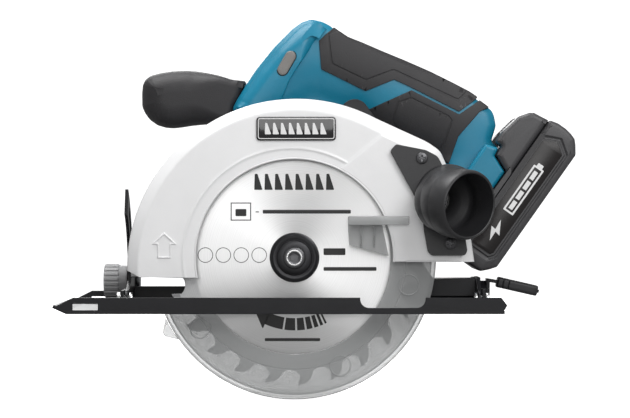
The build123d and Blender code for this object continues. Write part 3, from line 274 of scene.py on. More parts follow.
face_columns = 84
across_face = np.linspace(0, 1, face_columns)
turn = np.linspace(0, math.pi / 2, 5)
lip_radius = window + (window - arbor) / window_radius * 0.7
face_edge = shifted(rim, guard_band + 0.9, closed=False)
outer_side, inner_side = [], []
for step in turn:                                # rounded edge of the window
    ring = window + (window - arbor) / window_radius * 0.7 * (1 - math.cos(step))
    outer_side.append((ring, np.full(rows, guard_near + 0.7 * (1 - math.sin(step)))))
for share in across_face[1:]:                    # flat face with its relief
    ring = lip_radius * (1 - share) + face_edge * share
    fade = min(1.0, share / 0.02, (1 - share) / 0.02)
    outer_side.append((ring, guard_near + 0.45 - 0.45 * fade * guard_relief(ring[:, 0], ring[:, 1]) / 0.55))
for inset_mm, depth in ((guard_band, guard_near + 0.55), (guard_band - 0.6, guard_near + 0.95),
                        (3.4, -11.9), (1.5, -10.2), (0.7, -9.3), (0.2, -8.2), (0, -7.0), (0, 0), (0, 11.0),
                        (0.3, 11.7), (1.0, 12.0)):
    outer_side.append((shifted(rim, inset_mm, closed=False), np.full(rows, depth)))
columns = len(outer_side)
inner_wall = [(guard_wall, guard_far), (guard_wall, 5.0), (guard_wall, -6.0), (guard_wall + 2, -9.0),
              (guard_wall + guard_band, guard_near + guard_wall)]
for share in np.linspace(0, 1, columns - len(inner_wall)):
    ring = window * (1 - share) + shifted(rim, guard_wall + guard_band, closed=False) * share
    inner_side.append((ring, np.full(rows, guard_near + guard_wall)))
for inset_mm, depth in reversed(inner_wall):
    inner_side.append((shifted(rim, inset_mm, closed=False), np.full(rows, depth)))


def leg_trim(line):
    """Keeps the line above the lower ends of the legs."""
    floor = np.where(line[:, 0] < 0, front_leg + 0.5 * np.maximum(-89.4 - line[:, 0], 0), rear_leg)
    return np.stack([line[:, 0], np.maximum(line[:, 1], floor)], axis=1)


skin = np.array([np.column_stack([leg_trim(line)[:, 0], depth, leg_trim(line)[:, 1]])
                 for line, depth in outer_side + inner_side[::-1]])
total_columns = skin.shape[0]
guard_faces = grid_faces(total_columns, rows, wrap_rows=True).tolist()
for end in (0, rows - 1):                        # flat ends of the legs
    for column in range(columns - 1):
        mirror = total_columns - 1 - column
        guard_faces.append([column * rows + end, (column + 1) * rows + end,
                            (mirror - 1) * rows + end, mirror * rows + end])
white_paint = surface("white_paint", (0.84, 0.84, 0.845), 0.33, mottle=0.02, grain=420, grain_depth=0.000035,
                      Coat_Weight=0.25, Coat_Roughness=0.12)
guard_skin = make_piece("upper_guard_shell", skin.reshape(-1, 3), guard_faces, white_paint, crease=40)
dress(guard_skin, "saw", ["upper_guard"])


def enclosed(places, loops):
    """Whether each place lies between the loops: a ray from it crosses them an odd number of times."""
    crossings = np.zeros(len(places), int)
    for loop in loops:
        a, b = loop, np.roll(loop, -1, axis=0)
        spans = (a[None, :, 1] > places[:, None, 1]) != (b[None, :, 1] > places[:, None, 1])
        rise = np.where(b[:, 1] == a[:, 1], 1e-9, b[:, 1] - a[:, 1])
        meets = a[None, :, 0] + (places[:, None, 1] - a[None, :, 1]) / rise * (b - a)[None, :, 0]
        crossings += np.sum(spans & (places[:, None, 0] < meets), axis=1)
    return crossings % 2 == 1


def fill(loops, spacing=0.0):
    """Triangles between an outer loop and its holes, by constrained Delaunay. With a spacing, a
    grid of points is added inside so that the face can be curved afterwards."""
    corners = np.concatenate(loops)
    edges, offset = [], 0
    for loop in loops:
        index = np.arange(len(loop))
        edges += np.stack([index + offset, (index + 1) % len(loop) + offset], axis=1).tolist()
        offset += len(loop)
    if spacing > 0:
        low, high = corners.min(axis=0), corners.max(axis=0)
        across, up = np.meshgrid(np.arange(low[0], high[0], spacing), np.arange(low[1], high[1], spacing))
        across[1::2] += spacing / 2
        seeds = np.column_stack([across.ravel(), up.ravel()])
        seeds = seeds[enclosed(seeds, loops)]
        clear = np.array([np.min(np.sum((corners - seed) ** 2,
                                        axis=1)) for seed in seeds]) > (0.5 * spacing) ** 2
        corners = np.concatenate([corners, seeds[clear]])
    flat, _, triangles, _, _, _ = delaunay_2d_cdt(corners.tolist(), edges, [], 0, 1e-5)
    flat = np.array([tuple(v) for v in flat])
    triangles = np.array([list(t) for t in triangles])
    return flat, triangles[enclosed(flat[triangles].mean(axis=1), loops)]


def slab(name, loops, near, far, material, near_round=0.4, far_round=0.4, steps=3, crease=32.0, to_space=None,
         spacing=0.0):
    """A plate between two depths. Each loop keeps its material on the left, the outer one first.
    Its edge rolls over a quarter circle at both faces, and the faces are filled between loops.
    A rounding may be a list with one entry per loop, each one number or one for every point."""
    quarter = np.linspace(0, math.pi / 2, steps + 1)[:, None]
    points, faces, start, ends = [], [], 0, [[], []]
    depths = (near, far)
    for number, loop in enumerate(loops):
        loop = np.asarray(loop, float)
        near_edge = near_round[number] if isinstance(near_round, list) else near_round
        far_edge = far_round[number] if isinstance(far_round, list) else far_round
        near_edge = np.broadcast_to(near_edge, len(loop))[None, :]
        far_edge = np.broadcast_to(far_edge, len(loop))[None, :]
        moves = np.concatenate([near_edge * (1 - np.sin(quarter)), far_edge * (1 - np.cos(quarter))])
        levels = np.concatenate([near + near_edge * (1 - np.cos(quarter)),
                                 far - far_edge * (1 - np.sin(quarter))])
        rings = np.array([np.column_stack([shifted(loop, move[:, None]), level])
                          for move, level in zip(moves, levels)])
        points.append(rings.reshape(-1, 3))
        faces += grid_faces(len(rings), len(loop), start, wrap_columns=True).tolist()
        ends[0].append(rings[0][:, :2])
        ends[1].append(rings[-1][:, :2])
        start += len(rings) * len(loop)
    for outline, depth in zip(ends, depths):
        flat, triangles = fill(outline, spacing)
        points.append(np.column_stack([flat, np.full(len(flat), depth)]))
        faces += (triangles + start).tolist()
        start += len(flat)
    points = np.concatenate(points)
    if to_space is None:
        points = points[:, [0, 2, 1]]
    else:
        points = to_space(points)
    return make_piece(name, points, faces, material, crease)


def rounded(corners, radius, count=6):
    """Closed outline of straight sides with its corners turned on a radius. A corner may state its
    own radius as a third number."""
    corners = [tuple(c) if len(c) == 3 else (*c, radius) for c in corners]
    outline = []
    for index, (x, z, turn_radius) in enumerate(corners):
        here = np.array([x, z], float)
        back = np.array(corners[index - 1][:2], float) - here
        ahead = np.array(corners[(index + 1) % len(corners)][:2], float) - here
        back_length, ahead_length = np.linalg.norm(back), np.linalg.norm(ahead)
        back, ahead = back / back_length, ahead / ahead_length
        half = math.acos(np.clip(back @ ahead, -1, 1)) / 2
        reach = min(turn_radius / max(math.tan(half), 1e-3), 0.48 * back_length, 0.48 * ahead_length)
        share = np.linspace(0, 1, count)[:, None]
        start, end = here + back * reach, here + ahead * reach
        outline.append((1 - share) ** 2 * start + 2 * share * (1 - share) * here + share ** 2 * end)
    return np.concatenate(outline)


# rear wall of the guard with the seat of the gear case
rear_outline = np.concatenate([shifted(rim, 1.0, closed=False), [(-88, front_leg), (-27, front_leg), (-18, 5),
                                                                  (18, 5), (27, rear_leg), (103, rear_leg)]])
rear_outline[:, 1] = np.maximum(rear_outline[:, 1], 5)
seat = arc(arbor, 17.2, 360, 4, 90)
rear_wall = slab("upper_guard_rear", [rear_outline, seat], 9.0, 11.9, white_paint, 0.05, 0.05, steps=1)
dress(rear_wall, "saw")

# raised arrow on the front leg, a hollow outline
arrow_at = np.array([-75.5, 39.2])
arrow_outer = arrow_at + np.array([(0, 7.6), (-7.6, 0.6), (-4.0, 0.6), (-4.0, -7.4), (4.0, -7.4), (4.0, 0.6),
                                   (7.6, 0.6)])
arrow_inner = arrow_at + np.array([(0, 6.2), (5.2, 1.5), (3.1, 1.5), (3.1, -6.5), (-3.1, -6.5), (-3.1, 1.5),
                                   (-5.2, 1.5)])
arrow = slab("guard_arrow", [rounded(arrow_outer, 0.5, 3), rounded(arrow_inner, 0.3, 3)],
             guard_near - 0.15, guard_near + 0.9, white_paint, 0.4, 0.05, steps=3)
dress(arrow, "saw")


# ------------------------------------------------------------------------------------------
# Badge: a black plastic plate with a fine pale border and a plain row of saw teeth on it,
# glued on the guard's face.
# ------------------------------------------------------------------------------------------
badge_low, badge_high = (np.array(corner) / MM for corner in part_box("guard_badge"))


def stadium_box(low_x, high_x, low_z, high_z, radius, inset=0.0):
    """Rectangle with round corners, drawn in by an inset."""
    corners = [(low_x + inset, low_z + inset), (high_x - inset, low_z + inset),
               (high_x - inset, high_z - inset), (low_x + inset, high_z - inset)]
    return rounded(corners, max(radius - inset, 0.2), 8)


badge_sides = (badge_low[0], badge_high[0], badge_low[2], badge_high[2])
gloss_black = surface("gloss_black", (0.006, 0.006, 0.007), 0.16, mottle=0.1, grain=500, grain_depth=0.00001,
                      Coat_Weight=0.4, Coat_Roughness=0.05)
pale_print = surface("pale_print", (0.82, 0.82, 0.82), 0.4, mottle=0.02, grain_depth=0.00001)
badge = slab("guard_badge_plate", [stadium_box(*badge_sides, 2.4)], badge_low[1] + 0.1, guard_near + 0.5,
             gloss_black, 0.25, 0.05)
dress(badge, "saw", ["guard_badge"])
border = slab("guard_badge_border", [stadium_box(*badge_sides, 2.4, 0.9),
                                     stadium_box(*badge_sides, 2.4, 1.35)[::-1]],
              badge_low[1] + 0.02, badge_low[1] + 0.3, pale_print, 0.04, 0.04, steps=1)
dress(border, "saw")
tooth_width = 4.6
tooth_low, tooth_high = badge_low[2] + 3.6, badge_high[2] - 3.6
first_tooth = badge_low[0] + 4.9
for number in range(8):
    left = first_tooth + number * tooth_width
    tooth = [(left, tooth_low), (left + tooth_width - 0.9, tooth_low), (left + 1.3, tooth_high),
             (left + 0.2, tooth_high)]
    mark = slab(f"guard_badge_tooth_{number}", [rounded(tooth, 0.4, 4)], badge_low[1] + 0.02,
                badge_low[1] + 0.3,
                pale_print, 0.04, 0.04, steps=1)
    dress(mark, "saw")


# ------------------------------------------------------------------------------------------
# Dust port: a black moulded elbow on a flange, two cross-head screws hold it to the guard.
# ------------------------------------------------------------------------------------------
port_black = surface("port_black", (0.024, 0.024, 0.026), 0.42, mottle=0.12, grain=1300, grain_depth=0.00004)
port_root = np.array([89.5, -17.5, 67.0])
port_mouth = np.array([99.8, -50.0, 62.5])
port_direction = np.array([0.61, -0.78, -0.115]) / np.linalg.norm([0.61, -0.78, -0.115])
port_bend = port_mouth - 14.0 * port_direction
port_outline = [(59.1, 97.2, 1.5), (56.2, 93.8, 1.5), (74.6, 60), (75.7, 47.9, 6), (77.9, 36, 2),
                (79.8, 34.1, 2),
                (98.6, 34.1, 2), (99.5, 36.6, 2), (98.6, 42.2, 4), (86.4, 83, 4), (82.6, 90.4, 5),
                (76, 93.9, 8)]
screw_places = [(73.9, 89.8), (90.5, 40.4)]
port_eye, port_eye_radius = np.array([80.0, 66.0]), 9.5        # the hole through flange and guard
port_flange = slab("dust_port_flange", [rounded(port_outline, 4)[::-1],
                                        arc(port_eye, port_eye_radius, 0, 355, 72)], -17.5, -15.05,
                   port_black, 0.7, 0.1)
dress(port_flange, "saw", ["dust_port"])


def tube_ring(centre, direction, radius, count=96):
    """Circle of points square to a direction, its start kept level with +X."""
    side_way = np.cross(direction, [0, 0, 1.0])
    side_way /= np.linalg.norm(side_way)
    up_way = np.cross(side_way, direction)
    angle = np.linspace(0, 2 * math.pi, count, endpoint=False)[:, None]
    return centre + radius * (np.cos(angle) * side_way + np.sin(angle) * up_way)


def elbow(share):
    """Centre and direction along the bend: a cubic from the flange to the straight mouth."""
    start_pull, end_pull = np.array([0, -14.0, 0]), 14.0 * port_direction
    centre = ((2 * share ** 3 - 3 * share ** 2 + 1) * port_root + (share ** 3 - 2 * share ** 2 + share)
              * start_pull * 1.2
              + (-2 * share ** 3 + 3 * share ** 2) * port_bend + (share ** 3 - share ** 2) * end_pull * 1.2)
    way = np.array([0, -1.0, 0]) * (1 - share) + port_direction * share
    return centre, way / np.linalg.norm(way)


port_rings = [tube_ring(port_root + [0, 0.6, 0], np.array([0, -1.0, 0]), 19.0)]
for share in np.linspace(0, 1, 14):
    centre, way = elbow(share)
    port_rings.append(tube_ring(centre, way, 18.5 + 1.3 * share ** 2 + 0.9 * max(0, 1 - share * 7) ** 2))
for along, radius in ((0.8, 19.8), (1.2, 20.0), (12.0, 20.0), (13.4, 19.6), (14.0, 18.9), (14.0, 18.5),
                      (13.6, 18.05),
                      (6.0, 18.0), (0.5, 17.9)):
    port_rings.append(tube_ring(port_bend + along * port_direction, port_direction, radius))
eye_centre = np.array([port_eye[0], -17.4, port_eye[1]])
for share in np.linspace(0.94, 0, 10):             # the passage narrows and leans to the eye
    ease = share * share * (3 - 2 * share)
    way = np.array([0, -1.0, 0]) * (1 - share) + port_direction * share
    port_rings.append(tube_ring(eye_centre + (port_bend - eye_centre) * share, way / np.linalg.norm(way),
                                9.6 + 8.2 * min(1.0, ease * 2.2)))
port_grid = np.array(port_rings)
port_tube = make_piece("dust_port_tube", port_grid.reshape(-1, 3),
                       grid_faces(len(port_rings), 96, wrap_columns=True, wrap_rows=True), port_black, 40)
dress(port_tube, "saw")


def cross_screw(name, x, z, face_y, radius, body, material, outward=-1):
    """Domed screw head: height falls as the square of the radius, with a cross cut into it."""
    around, along = 48, 22
    angle = np.linspace(0, 2 * math.pi, around, endpoint=False)[None, :]
    reach = np.linspace(0, 1, along)[:, None] ** 0.8
    u, v = radius * reach * np.cos(angle), radius * reach * np.sin(angle)
    dome = 1.5 - 0.55 * reach ** 2 - 0.5 * np.clip((reach - 0.9) / 0.1, 0, 1) ** 2 + 0 * angle
    arm, blade_width = 0.56 * radius, 0.16 * radius
    cut = np.maximum((np.abs(u) < blade_width) & (np.abs(v) < arm),
                     (np.abs(v) < blade_width) & (np.abs(u) < arm))
    height = dome - 0.9 * cut * np.clip(1.25 - reach, 0.3, 1)
    top = np.stack([x + u, face_y + outward * height, z + v], axis=-1)
    skirt = np.stack([x + radius * np.cos(angle[0]), np.full(around, face_y),
                      z + radius * np.sin(angle[0])], axis=-1)
    points = np.concatenate([top.reshape(-1, 3), skirt])
    faces = grid_faces(along + 1, around, wrap_columns=True).tolist()
    faces.append((np.arange(around) + along * around).tolist())
    return dress(make_piece(name, points, faces, material, 40), body)


dark_screw = surface("dark_screw", (0.12, 0.12, 0.125), 0.35, metallic=1.0, mottle=0.2, grain=900)
for number, (x, z) in enumerate(screw_places):
    cross_screw(f"port_screw_{number}", x, z, -17.5, 3.4, "saw", dark_screw)
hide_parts("port_screws")


# ------------------------------------------------------------------------------------------
# Blade: a ground steel disc with hooked teeth and brazed carbide tips. The inner face is
# brushed bright inside a ring and left matt grey outside it, with a printed turning arrow.
# ------------------------------------------------------------------------------------------
blade_radius, blade_body, kerf = 75.0, 1.1, 1.5
tooth_count, first_tip = 24, -28.4
tooth_shape = [(0, 0), (1.1, 3.5), (2.1, 4.8), (3.6, 6.0), (5.4, 6.9), (7.4, 7.6), (8.5, 8.8), (9.1, 10.4),
               (9.05, 12.1),
               (8.4, 13.8), (7.2, 15.2), (5.5, 16.2)]     # (depth below the tip circle, degrees on)


def ring_of(shape, count, first):
    """The shape's (depth, degrees) points repeated round the arbor, as (x, z)."""
    shape = np.array(shape)
    turns = first + np.arange(count)[:, None] * 360 / count + shape[None, :, 1]
    radius = blade_radius - shape[None, :, 0]
    angle = np.radians(turns)
    return np.stack([radius * np.cos(angle), radius * np.sin(angle)], axis=-1).reshape(-1, 2) + arbor


tooth_line = ring_of(tooth_shape, tooth_count, first_tip)
bore_loop = arc(arbor, 8.0, 360, 5, 72)

blade_metal = bpy.data.materials.new("blade_metal")
blade_metal.use_nodes = True
blade_nodes, blade_links = blade_metal.node_tree.nodes, blade_metal.node_tree.links
blade_shader = blade_nodes["Principled BSDF"]
blade_shader.inputs["Metallic"].default_value = 0.8
blade_shader.inputs["Anisotropic"].default_value = 0.85
blade_place = blade_nodes.new("ShaderNodeTexCoord")
blade_centre = blade_nodes.new("ShaderNodeMapping")
blade_centre.inputs["Location"].default_value = (0, 0, -arbor[1] * MM)
blade_links.new(blade_place.outputs["Object"], blade_centre.inputs["Vector"])
blade_flat = blade_nodes.new("ShaderNodeVectorMath")
blade_flat.operation = "MULTIPLY"
blade_flat.inputs[1].default_value = (1, 0, 1)
blade_links.new(blade_centre.outputs["Vector"], blade_flat.inputs[0])
blade_reach = blade_nodes.new("ShaderNodeVectorMath")
blade_reach.operation = "LENGTH"
blade_links.new(blade_flat.outputs["Vector"], blade_reach.inputs[0])
blade_zone = blade_nodes.new("ShaderNodeMapRange")       # 0 on the bright disc, 1 on the matt rim
blade_zone.inputs["From Min"].default_value = 58.7 * MM
blade_zone.inputs["From Max"].default_value = 59.1 * MM
blade_links.new(blade_reach.outputs["Value"], blade_zone.inputs["Value"])
blade_colour = blade_nodes.new("ShaderNodeMixRGB")
blade_colour.inputs["Color1"].default_value = (0.86, 0.86, 0.86, 1)
blade_colour.inputs["Color2"].default_value = (0.86, 0.865, 0.87, 1)
blade_links.new(blade_zone.outputs["Result"], blade_colour.inputs["Fac"])
blade_rings = blade_nodes.new("ShaderNodeTexNoise")      # fine concentric grinding marks
blade_rings.noise_dimensions = "1D"
blade_rings.inputs["Scale"].default_value = 2600.0
blade_rings.inputs["Detail"].default_value = 4.0
blade_links.new(blade_reach.outputs["Value"], blade_rings.inputs["W"])
blade_tone = blade_nodes.new("ShaderNodeMixRGB")
blade_tone.blend_type = "MULTIPLY"
blade_tone.inputs["Fac"].default_value = 0.28
blade_links.new(blade_colour.outputs["Color"], blade_tone.inputs["Color1"])
blade_links.new(blade_rings.outputs["Fac"], blade_tone.inputs["Color2"])
blade_links.new(blade_tone.outputs["Color"], blade_shader.inputs["Base Color"])
blade_rough = blade_nodes.new("ShaderNodeMapRange")
blade_rough.inputs["From Min"].default_value = 58.7 * MM
blade_rough.inputs["From Max"].default_value = 59.1 * MM
blade_rough.inputs["To Min"].default_value = 0.30
blade_rough.inputs["To Max"].default_value = 0.50
blade_links.new(blade_reach.outputs["Value"], blade_rough.inputs["Value"])
blade_links.new(blade_rough.outputs["Result"], blade_shader.inputs["Roughness"])
blade_bump = blade_nodes.new("ShaderNodeBump")
blade_bump.inputs["Distance"].default_value = 0.00001
blade_links.new(blade_rings.outputs["Fac"], blade_bump.inputs["Height"])
blade_links.new(blade_bump.outputs["Normal"], blade_shader.inputs["Normal"])
blade_tangent = blade_nodes.new("ShaderNodeTangent")
blade_tangent.direction_type = "RADIAL"
blade_tangent.axis = "Y"
blade_links.new(blade_tangent.outputs["Tangent"], blade_shader.inputs["Tangent"])

blade_disc = slab("blade_disc", [tooth_line, bore_loop], -blade_body / 2, blade_body / 2, blade_metal,
                  0.08, 0.08, steps=1)
dress(blade_disc, "spindle", ["blade"])

carbide = surface("carbide", (0.30, 0.30, 0.31), 0.3, metallic=1.0, mottle=0.1, grain=1500)
tip_shape = np.array([(0.0, 0.0), (0.15, 1.3), (4.4, 2.6), (4.7, 1.2)])      # (depth, degrees)
tip_angle = np.radians(first_tip + np.arange(tooth_count)[:, None] * 15 + tip_shape[None, :, 1])
tip_radius = blade_radius - tip_shape[None, :, 0]
tip_flat = np.stack([tip_radius * np.cos(tip_angle), tip_radius * np.sin(tip_angle)], axis=-1) + arbor
tip_depth = np.array([-kerf / 2, kerf / 2])
tip_points = np.concatenate([np.concatenate([tip_flat[..., :1], np.full((tooth_count, 4, 1), depth),
                                             tip_flat[..., 1:]],
                                            axis=-1)[:, None] for depth in tip_depth], axis=1)
tip_block = np.array([[0, 1, 2, 3], [7, 6, 5, 4], [0, 4, 5, 1], [1, 5, 6, 2], [2, 6, 7, 3], [3, 7, 4, 0]])
tip_faces = (tip_block[None] + 8 * np.arange(tooth_count)[:, None, None]).reshape(-1, 4)
tips = make_piece("blade_tips", tip_points.reshape(-1, 3), tip_faces, carbide, 20)
dress(tips, "spindle")

blade_ink = surface("blade_ink", (0.012, 0.012, 0.012), 0.45, mottle=0.1, grain_depth=0.00001)


def band(start, end, low, high, count):
    """Closed outline of a piece of a ring round the arbor, angles in degrees below +X."""
    return np.concatenate([arc(arbor, high, -end, -start, count), arc(arbor, low, -start, -end, count)])


ink_near, ink_far = -blade_body / 2 - 0.06, -blade_body / 2 + 0.01
arrow_head = np.concatenate([arc(arbor, 45.4, -114.5, -114.0, 2), arc(arbor, 32.8, -114.0, -114.5, 2),
                             arc(arbor, 39.1, -125.5, -126.0, 2)])
ink_pieces = [band(99.5, 114.5, 35.5, 42.7, 16), arrow_head]
gap_start = 98.0
for width in (8.6, 6.2, 4.6, 3.4, 2.4, 1.6):
    ink_pieces.append(band(gap_start - width, gap_start, 35.5, 42.7, 8))
    gap_start -= width + 1.5
for number, outline in enumerate(ink_pieces):
    area = np.sum(outline[:, 0] * np.roll(outline[:, 1], -1) - np.roll(outline[:, 0], -1) * outline[:, 1])
    mark = slab(f"blade_arrow_{number}", [outline if area > 0 else outline[::-1]], ink_near, ink_far,
                blade_ink,
                0.01, 0.005, steps=1)
    dress(mark, "spindle")
for number in range(4):                             # plain printed rings beside the hub
    spot = (-52.2 + 10.5 * number, 33.4)
    ring_mark = slab(f"blade_ring_{number}", [arc(spot, 4.5, 0, 350, 48), arc(spot, 4.1, 350, 0, 48)],
                     ink_near, ink_far,
                     blade_ink, 0.01, 0.005, steps=1)
    dress(ring_mark, "spindle")


for number in range(8):                             # a plain row of saw teeth, as on the badge
    left = -23.6 + 6.0 * number
    tooth_mark = slab(f"blade_tooth_mark_{number}", [rounded([(left, 71.6), (left + 4.9, 71.6),
                                                              (left + 1.9, 81.0),
                                                              (left + 0.3, 81.0)], 0.4, 3)],
                      ink_near, ink_far, blade_ink, 0.01, 0.005, steps=1)
    dress(tooth_mark, "spindle")
square_out, square_in = [(-37.4, 53.6), (-25.4, 53.6), (-25.4, 64.2), (-37.4, 64.2)], [(-36.8, 54.2),
        (-26.0, 54.2),
                                                                                     (-26.0, 63.6),
                                                                                             (-36.8, 63.6)]
frame_mark = slab("blade_frame_mark", [np.array(square_out, float), np.array(square_in, float)[::-1]],
                  ink_near, ink_far,
                  blade_ink, 0.01, 0.005, steps=1)
dress(frame_mark, "spindle")
for number, (low_x, high_x, low_z, high_z) in enumerate([(-34.6, -28.2, 56.2, 60.4),
                                                         (-22.8, -20.8, 58.4, 59.0),
                                                         (-18.6, 33.0, 57.7, 59.9), (17.0, 29.8, 33.4, 37.4),
                                                         (17.0, 48.0, 24.2, 26.4),
                                                         (-17.4, 15.0, -17.0, -15.2)]):
    dash = slab(f"blade_dash_{number}", [rounded([(low_x, low_z), (high_x, low_z), (high_x, high_z),
                                                  (low_x, high_z)], 0.5, 3)],
                ink_near, ink_far, blade_ink, 0.01, 0.005, steps=1)
    dress(dash, "spindle")


# ------------------------------------------------------------------------------------------
# Blade clamp: turned outer flange with raised rings, blackened, and a socket-head bolt.
# ------------------------------------------------------------------------------------------
def turned(name, profile, centre, material, body, nodes=(), around=96, axis="y", crease=35.0):
    """A lathe piece: (radius, depth) points turned round an axis through centre = (x, z) or (y, z)."""
    profile = np.array(profile, float)
    angle = np.linspace(0, 2 * math.pi, around, endpoint=False)[None, :]
    first = centre[0] + profile[:, :1] * np.cos(angle)
    second = centre[1] + profile[:, :1] * np.sin(angle)
    depth = np.broadcast_to(profile[:, 1:], first.shape)
    points = np.stack([first, depth, second] if axis == "y" else [depth, first, second], axis=-1)
    faces = grid_faces(len(profile), around, wrap_columns=True)
    piece = make_piece(name, points.reshape(-1, 3), faces, material, crease)
    return dress(piece, body, nodes)


flange_black = surface("flange_black", (0.035, 0.035, 0.038), 0.36, metallic=0.6, mottle=0.2, grain=1200)
flange_profile = [(0.01, -0.6), (14.4, -0.6), (14.6, -0.9), (14.5, -2.2), (14.1, -3.0), (13.0, -3.5),
                  (12.7, -3.9),
                  (12.4, -4.2), (11.2, -4.2), (10.9, -4.0), (10.6, -4.0), (10.2, -4.9), (9.8, -5.5),
                  (9.2, -5.8),
                  (7.6, -6.0), (6.9, -6.0), (0.01, -6.0)]
turned("outer_flange_disc", flange_profile, arbor, flange_black, "spindle", ["outer_flange"])
socket_angle = np.linspace(0, 2 * math.pi, 96, endpoint=False)
hexagon = 2.9 * math.cos(math.pi / 6) / np.cos((socket_angle + math.pi / 6) % (math.pi / 3) - math.pi / 6)
bolt_rings = [(0, -6.0, 6.3), (0, -6.0, 6.2), (0, -10.3, 6.2), (0, -10.8, 5.9), (0, -11.0, 5.4),
              (0, -11.0, 4.4),
              (0, -10.7, 4.1), (0, -10.6, 3.9), (1, -10.5, 1.08), (1, -10.2, 1.0), (1, -8.2, 1.0),
              (1, -8.2, 0.01)]
bolt_points = np.array([np.stack([arbor[0] + (hexagon if hexed else 1) * reach * np.cos(socket_angle),
                                  np.full(96, depth),
                                  arbor[1] + (hexagon if hexed else 1) * reach * np.sin(socket_angle)],
                                 axis=-1)
                        for hexed, depth, reach in bolt_rings])
bolt_head = make_piece("blade_bolt_head", bolt_points.reshape(-1, 3),
                       grid_faces(len(bolt_rings), 96, wrap_columns=True),
                       dark_screw, 35)
dress(bolt_head, "spindle", ["blade_bolt"])
turned("blade_bolt_rim", [(3.75, -10.62), (3.8, -11.02), (4.3, -11.05), (4.6, -11.02), (4.7, -10.9)], arbor,
       bright_steel,
       "spindle")


# ------------------------------------------------------------------------------------------
# Lower guard: one smoky clear moulding round the blade, two walls joined by a rim, with round
# bosses pressed in its face and a finger tab that reaches out through the guard's window.
# ------------------------------------------------------------------------------------------
clear_guard = bpy.data.materials.new("clear_guard")
clear_guard.use_nodes = True
clear_nodes, clear_links = clear_guard.node_tree.nodes, clear_guard.node_tree.links
clear_shader = clear_nodes["Principled BSDF"]
clear_shader.inputs["Roughness"].default_value = 0.12
clear_shader.inputs["IOR"].default_value = 1.5
clear_shader.inputs["Base Color"].default_value = (0.50, 0.51, 0.51, 1)
clear_place = clear_nodes.new("ShaderNodeTexCoord")
clear_noise = clear_nodes.new("ShaderNodeTexNoise")
clear_noise.inputs["Scale"].default_value = 45.0
clear_links.new(clear_place.outputs["Object"], clear_noise.inputs["Vector"])
clear_edge = clear_nodes.new("ShaderNodeLayerWeight")
clear_edge.inputs["Blend"].default_value = 0.35
clear_body = clear_nodes.new("ShaderNodeMapRange")
clear_body.inputs["To Min"].default_value = 0.44
clear_body.inputs["To Max"].default_value = 0.85
clear_links.new(clear_edge.outputs["Facing"], clear_body.inputs["Value"])
clear_haze = clear_nodes.new("ShaderNodeMath")
clear_haze.operation = "MULTIPLY_ADD"
clear_haze.inputs[1].default_value = 0.08
clear_links.new(clear_noise.outputs["Fac"], clear_haze.inputs[0])
clear_links.new(clear_body.outputs["Result"], clear_haze.inputs[2])
clear_links.new(clear_haze.outputs["Value"], clear_shader.inputs["Alpha"])
clear_bump = clear_nodes.new("ShaderNodeBump")
clear_bump.inputs["Distance"].default_value = 0.0001
clear_links.new(clear_noise.outputs["Fac"], clear_bump.inputs["Height"])
clear_links.new(clear_bump.outputs["Normal"], clear_shader.inputs["Normal"])

cut_height = 5.0                                    # the front end's top, just over the base
rear_end = 380.1                                    # degrees, where the sector stops at the rear
section = [(56.0, -8.3), (56.0, -9.7), (56.3, -10.0), (64.6, -10.0), (64.9, -9.75), (65.2, -9.75),
           (65.5, -10.0),
           (81.3, -10.0), (82.2, -9.7), (82.5, -8.9), (82.5, 6.5), (82.2, 7.2), (81.4, 7.5), (70, 7.5),
           (45, 7.5),
           (19.8, 7.5), (19.5, 7.2), (19.5, 5.8), (19.8, 5.5), (45, 5.5), (70, 5.5), (79.5, 5.5), (80.0, 5.0),
           (80.0, -7.5), (79.6, -8.0), (65.5, -8.0), (56.3, -8.0)]
section = np.array(section)
sweep_steps = 200
front_start = 180 + np.degrees(np.arcsin(np.clip((arbor[1] - cut_height) / section[:, 0], 0, 1)))
share = np.linspace(0, 1, sweep_steps)[:, None]
sector_angle = np.radians(front_start[None, :] * (1 - share) + rear_end * share)
sector = np.stack([arbor[0] + section[:, 0] * np.cos(sector_angle),
                   np.broadcast_to(section[:, 1], sector_angle.shape),
                   arbor[1] + section[:, 0] * np.sin(sector_angle)], axis=-1)
sector_faces = grid_faces(sweep_steps, len(section), wrap_columns=True).tolist()
for end in (0, sweep_steps - 1):
    base_index = end * len(section)
    near_pairs = list(zip(range(0, 10), [26, 26, 26, 25, 25, 25, 25, 24, 24, 23]))
    for (a, b), (c, d) in zip(near_pairs[:-1], near_pairs[1:]):
        corner = [base_index + a, base_index + c, base_index + d] + ([base_index + b] if b != d else [])
        sector_faces.append(corner)
    far_pairs = list(zip(range(9, 18), [23, 22, 22, 22, 20, 19, 18, 18, 18]))
    for (a, b), (c, d) in zip(far_pairs[:-1], far_pairs[1:]):
        corner = [base_index + a, base_index + c, base_index + d] + ([base_index + b] if b != d else [])
        sector_faces.append(corner)
    sector_faces.append([base_index + 22, base_index + 21, base_index + 20])
lower_shell = make_piece("lower_guard_shell", sector.reshape(-1, 3), sector_faces, clear_guard, 30)
dress(lower_shell, "lower_guard", ["lower_guard"])

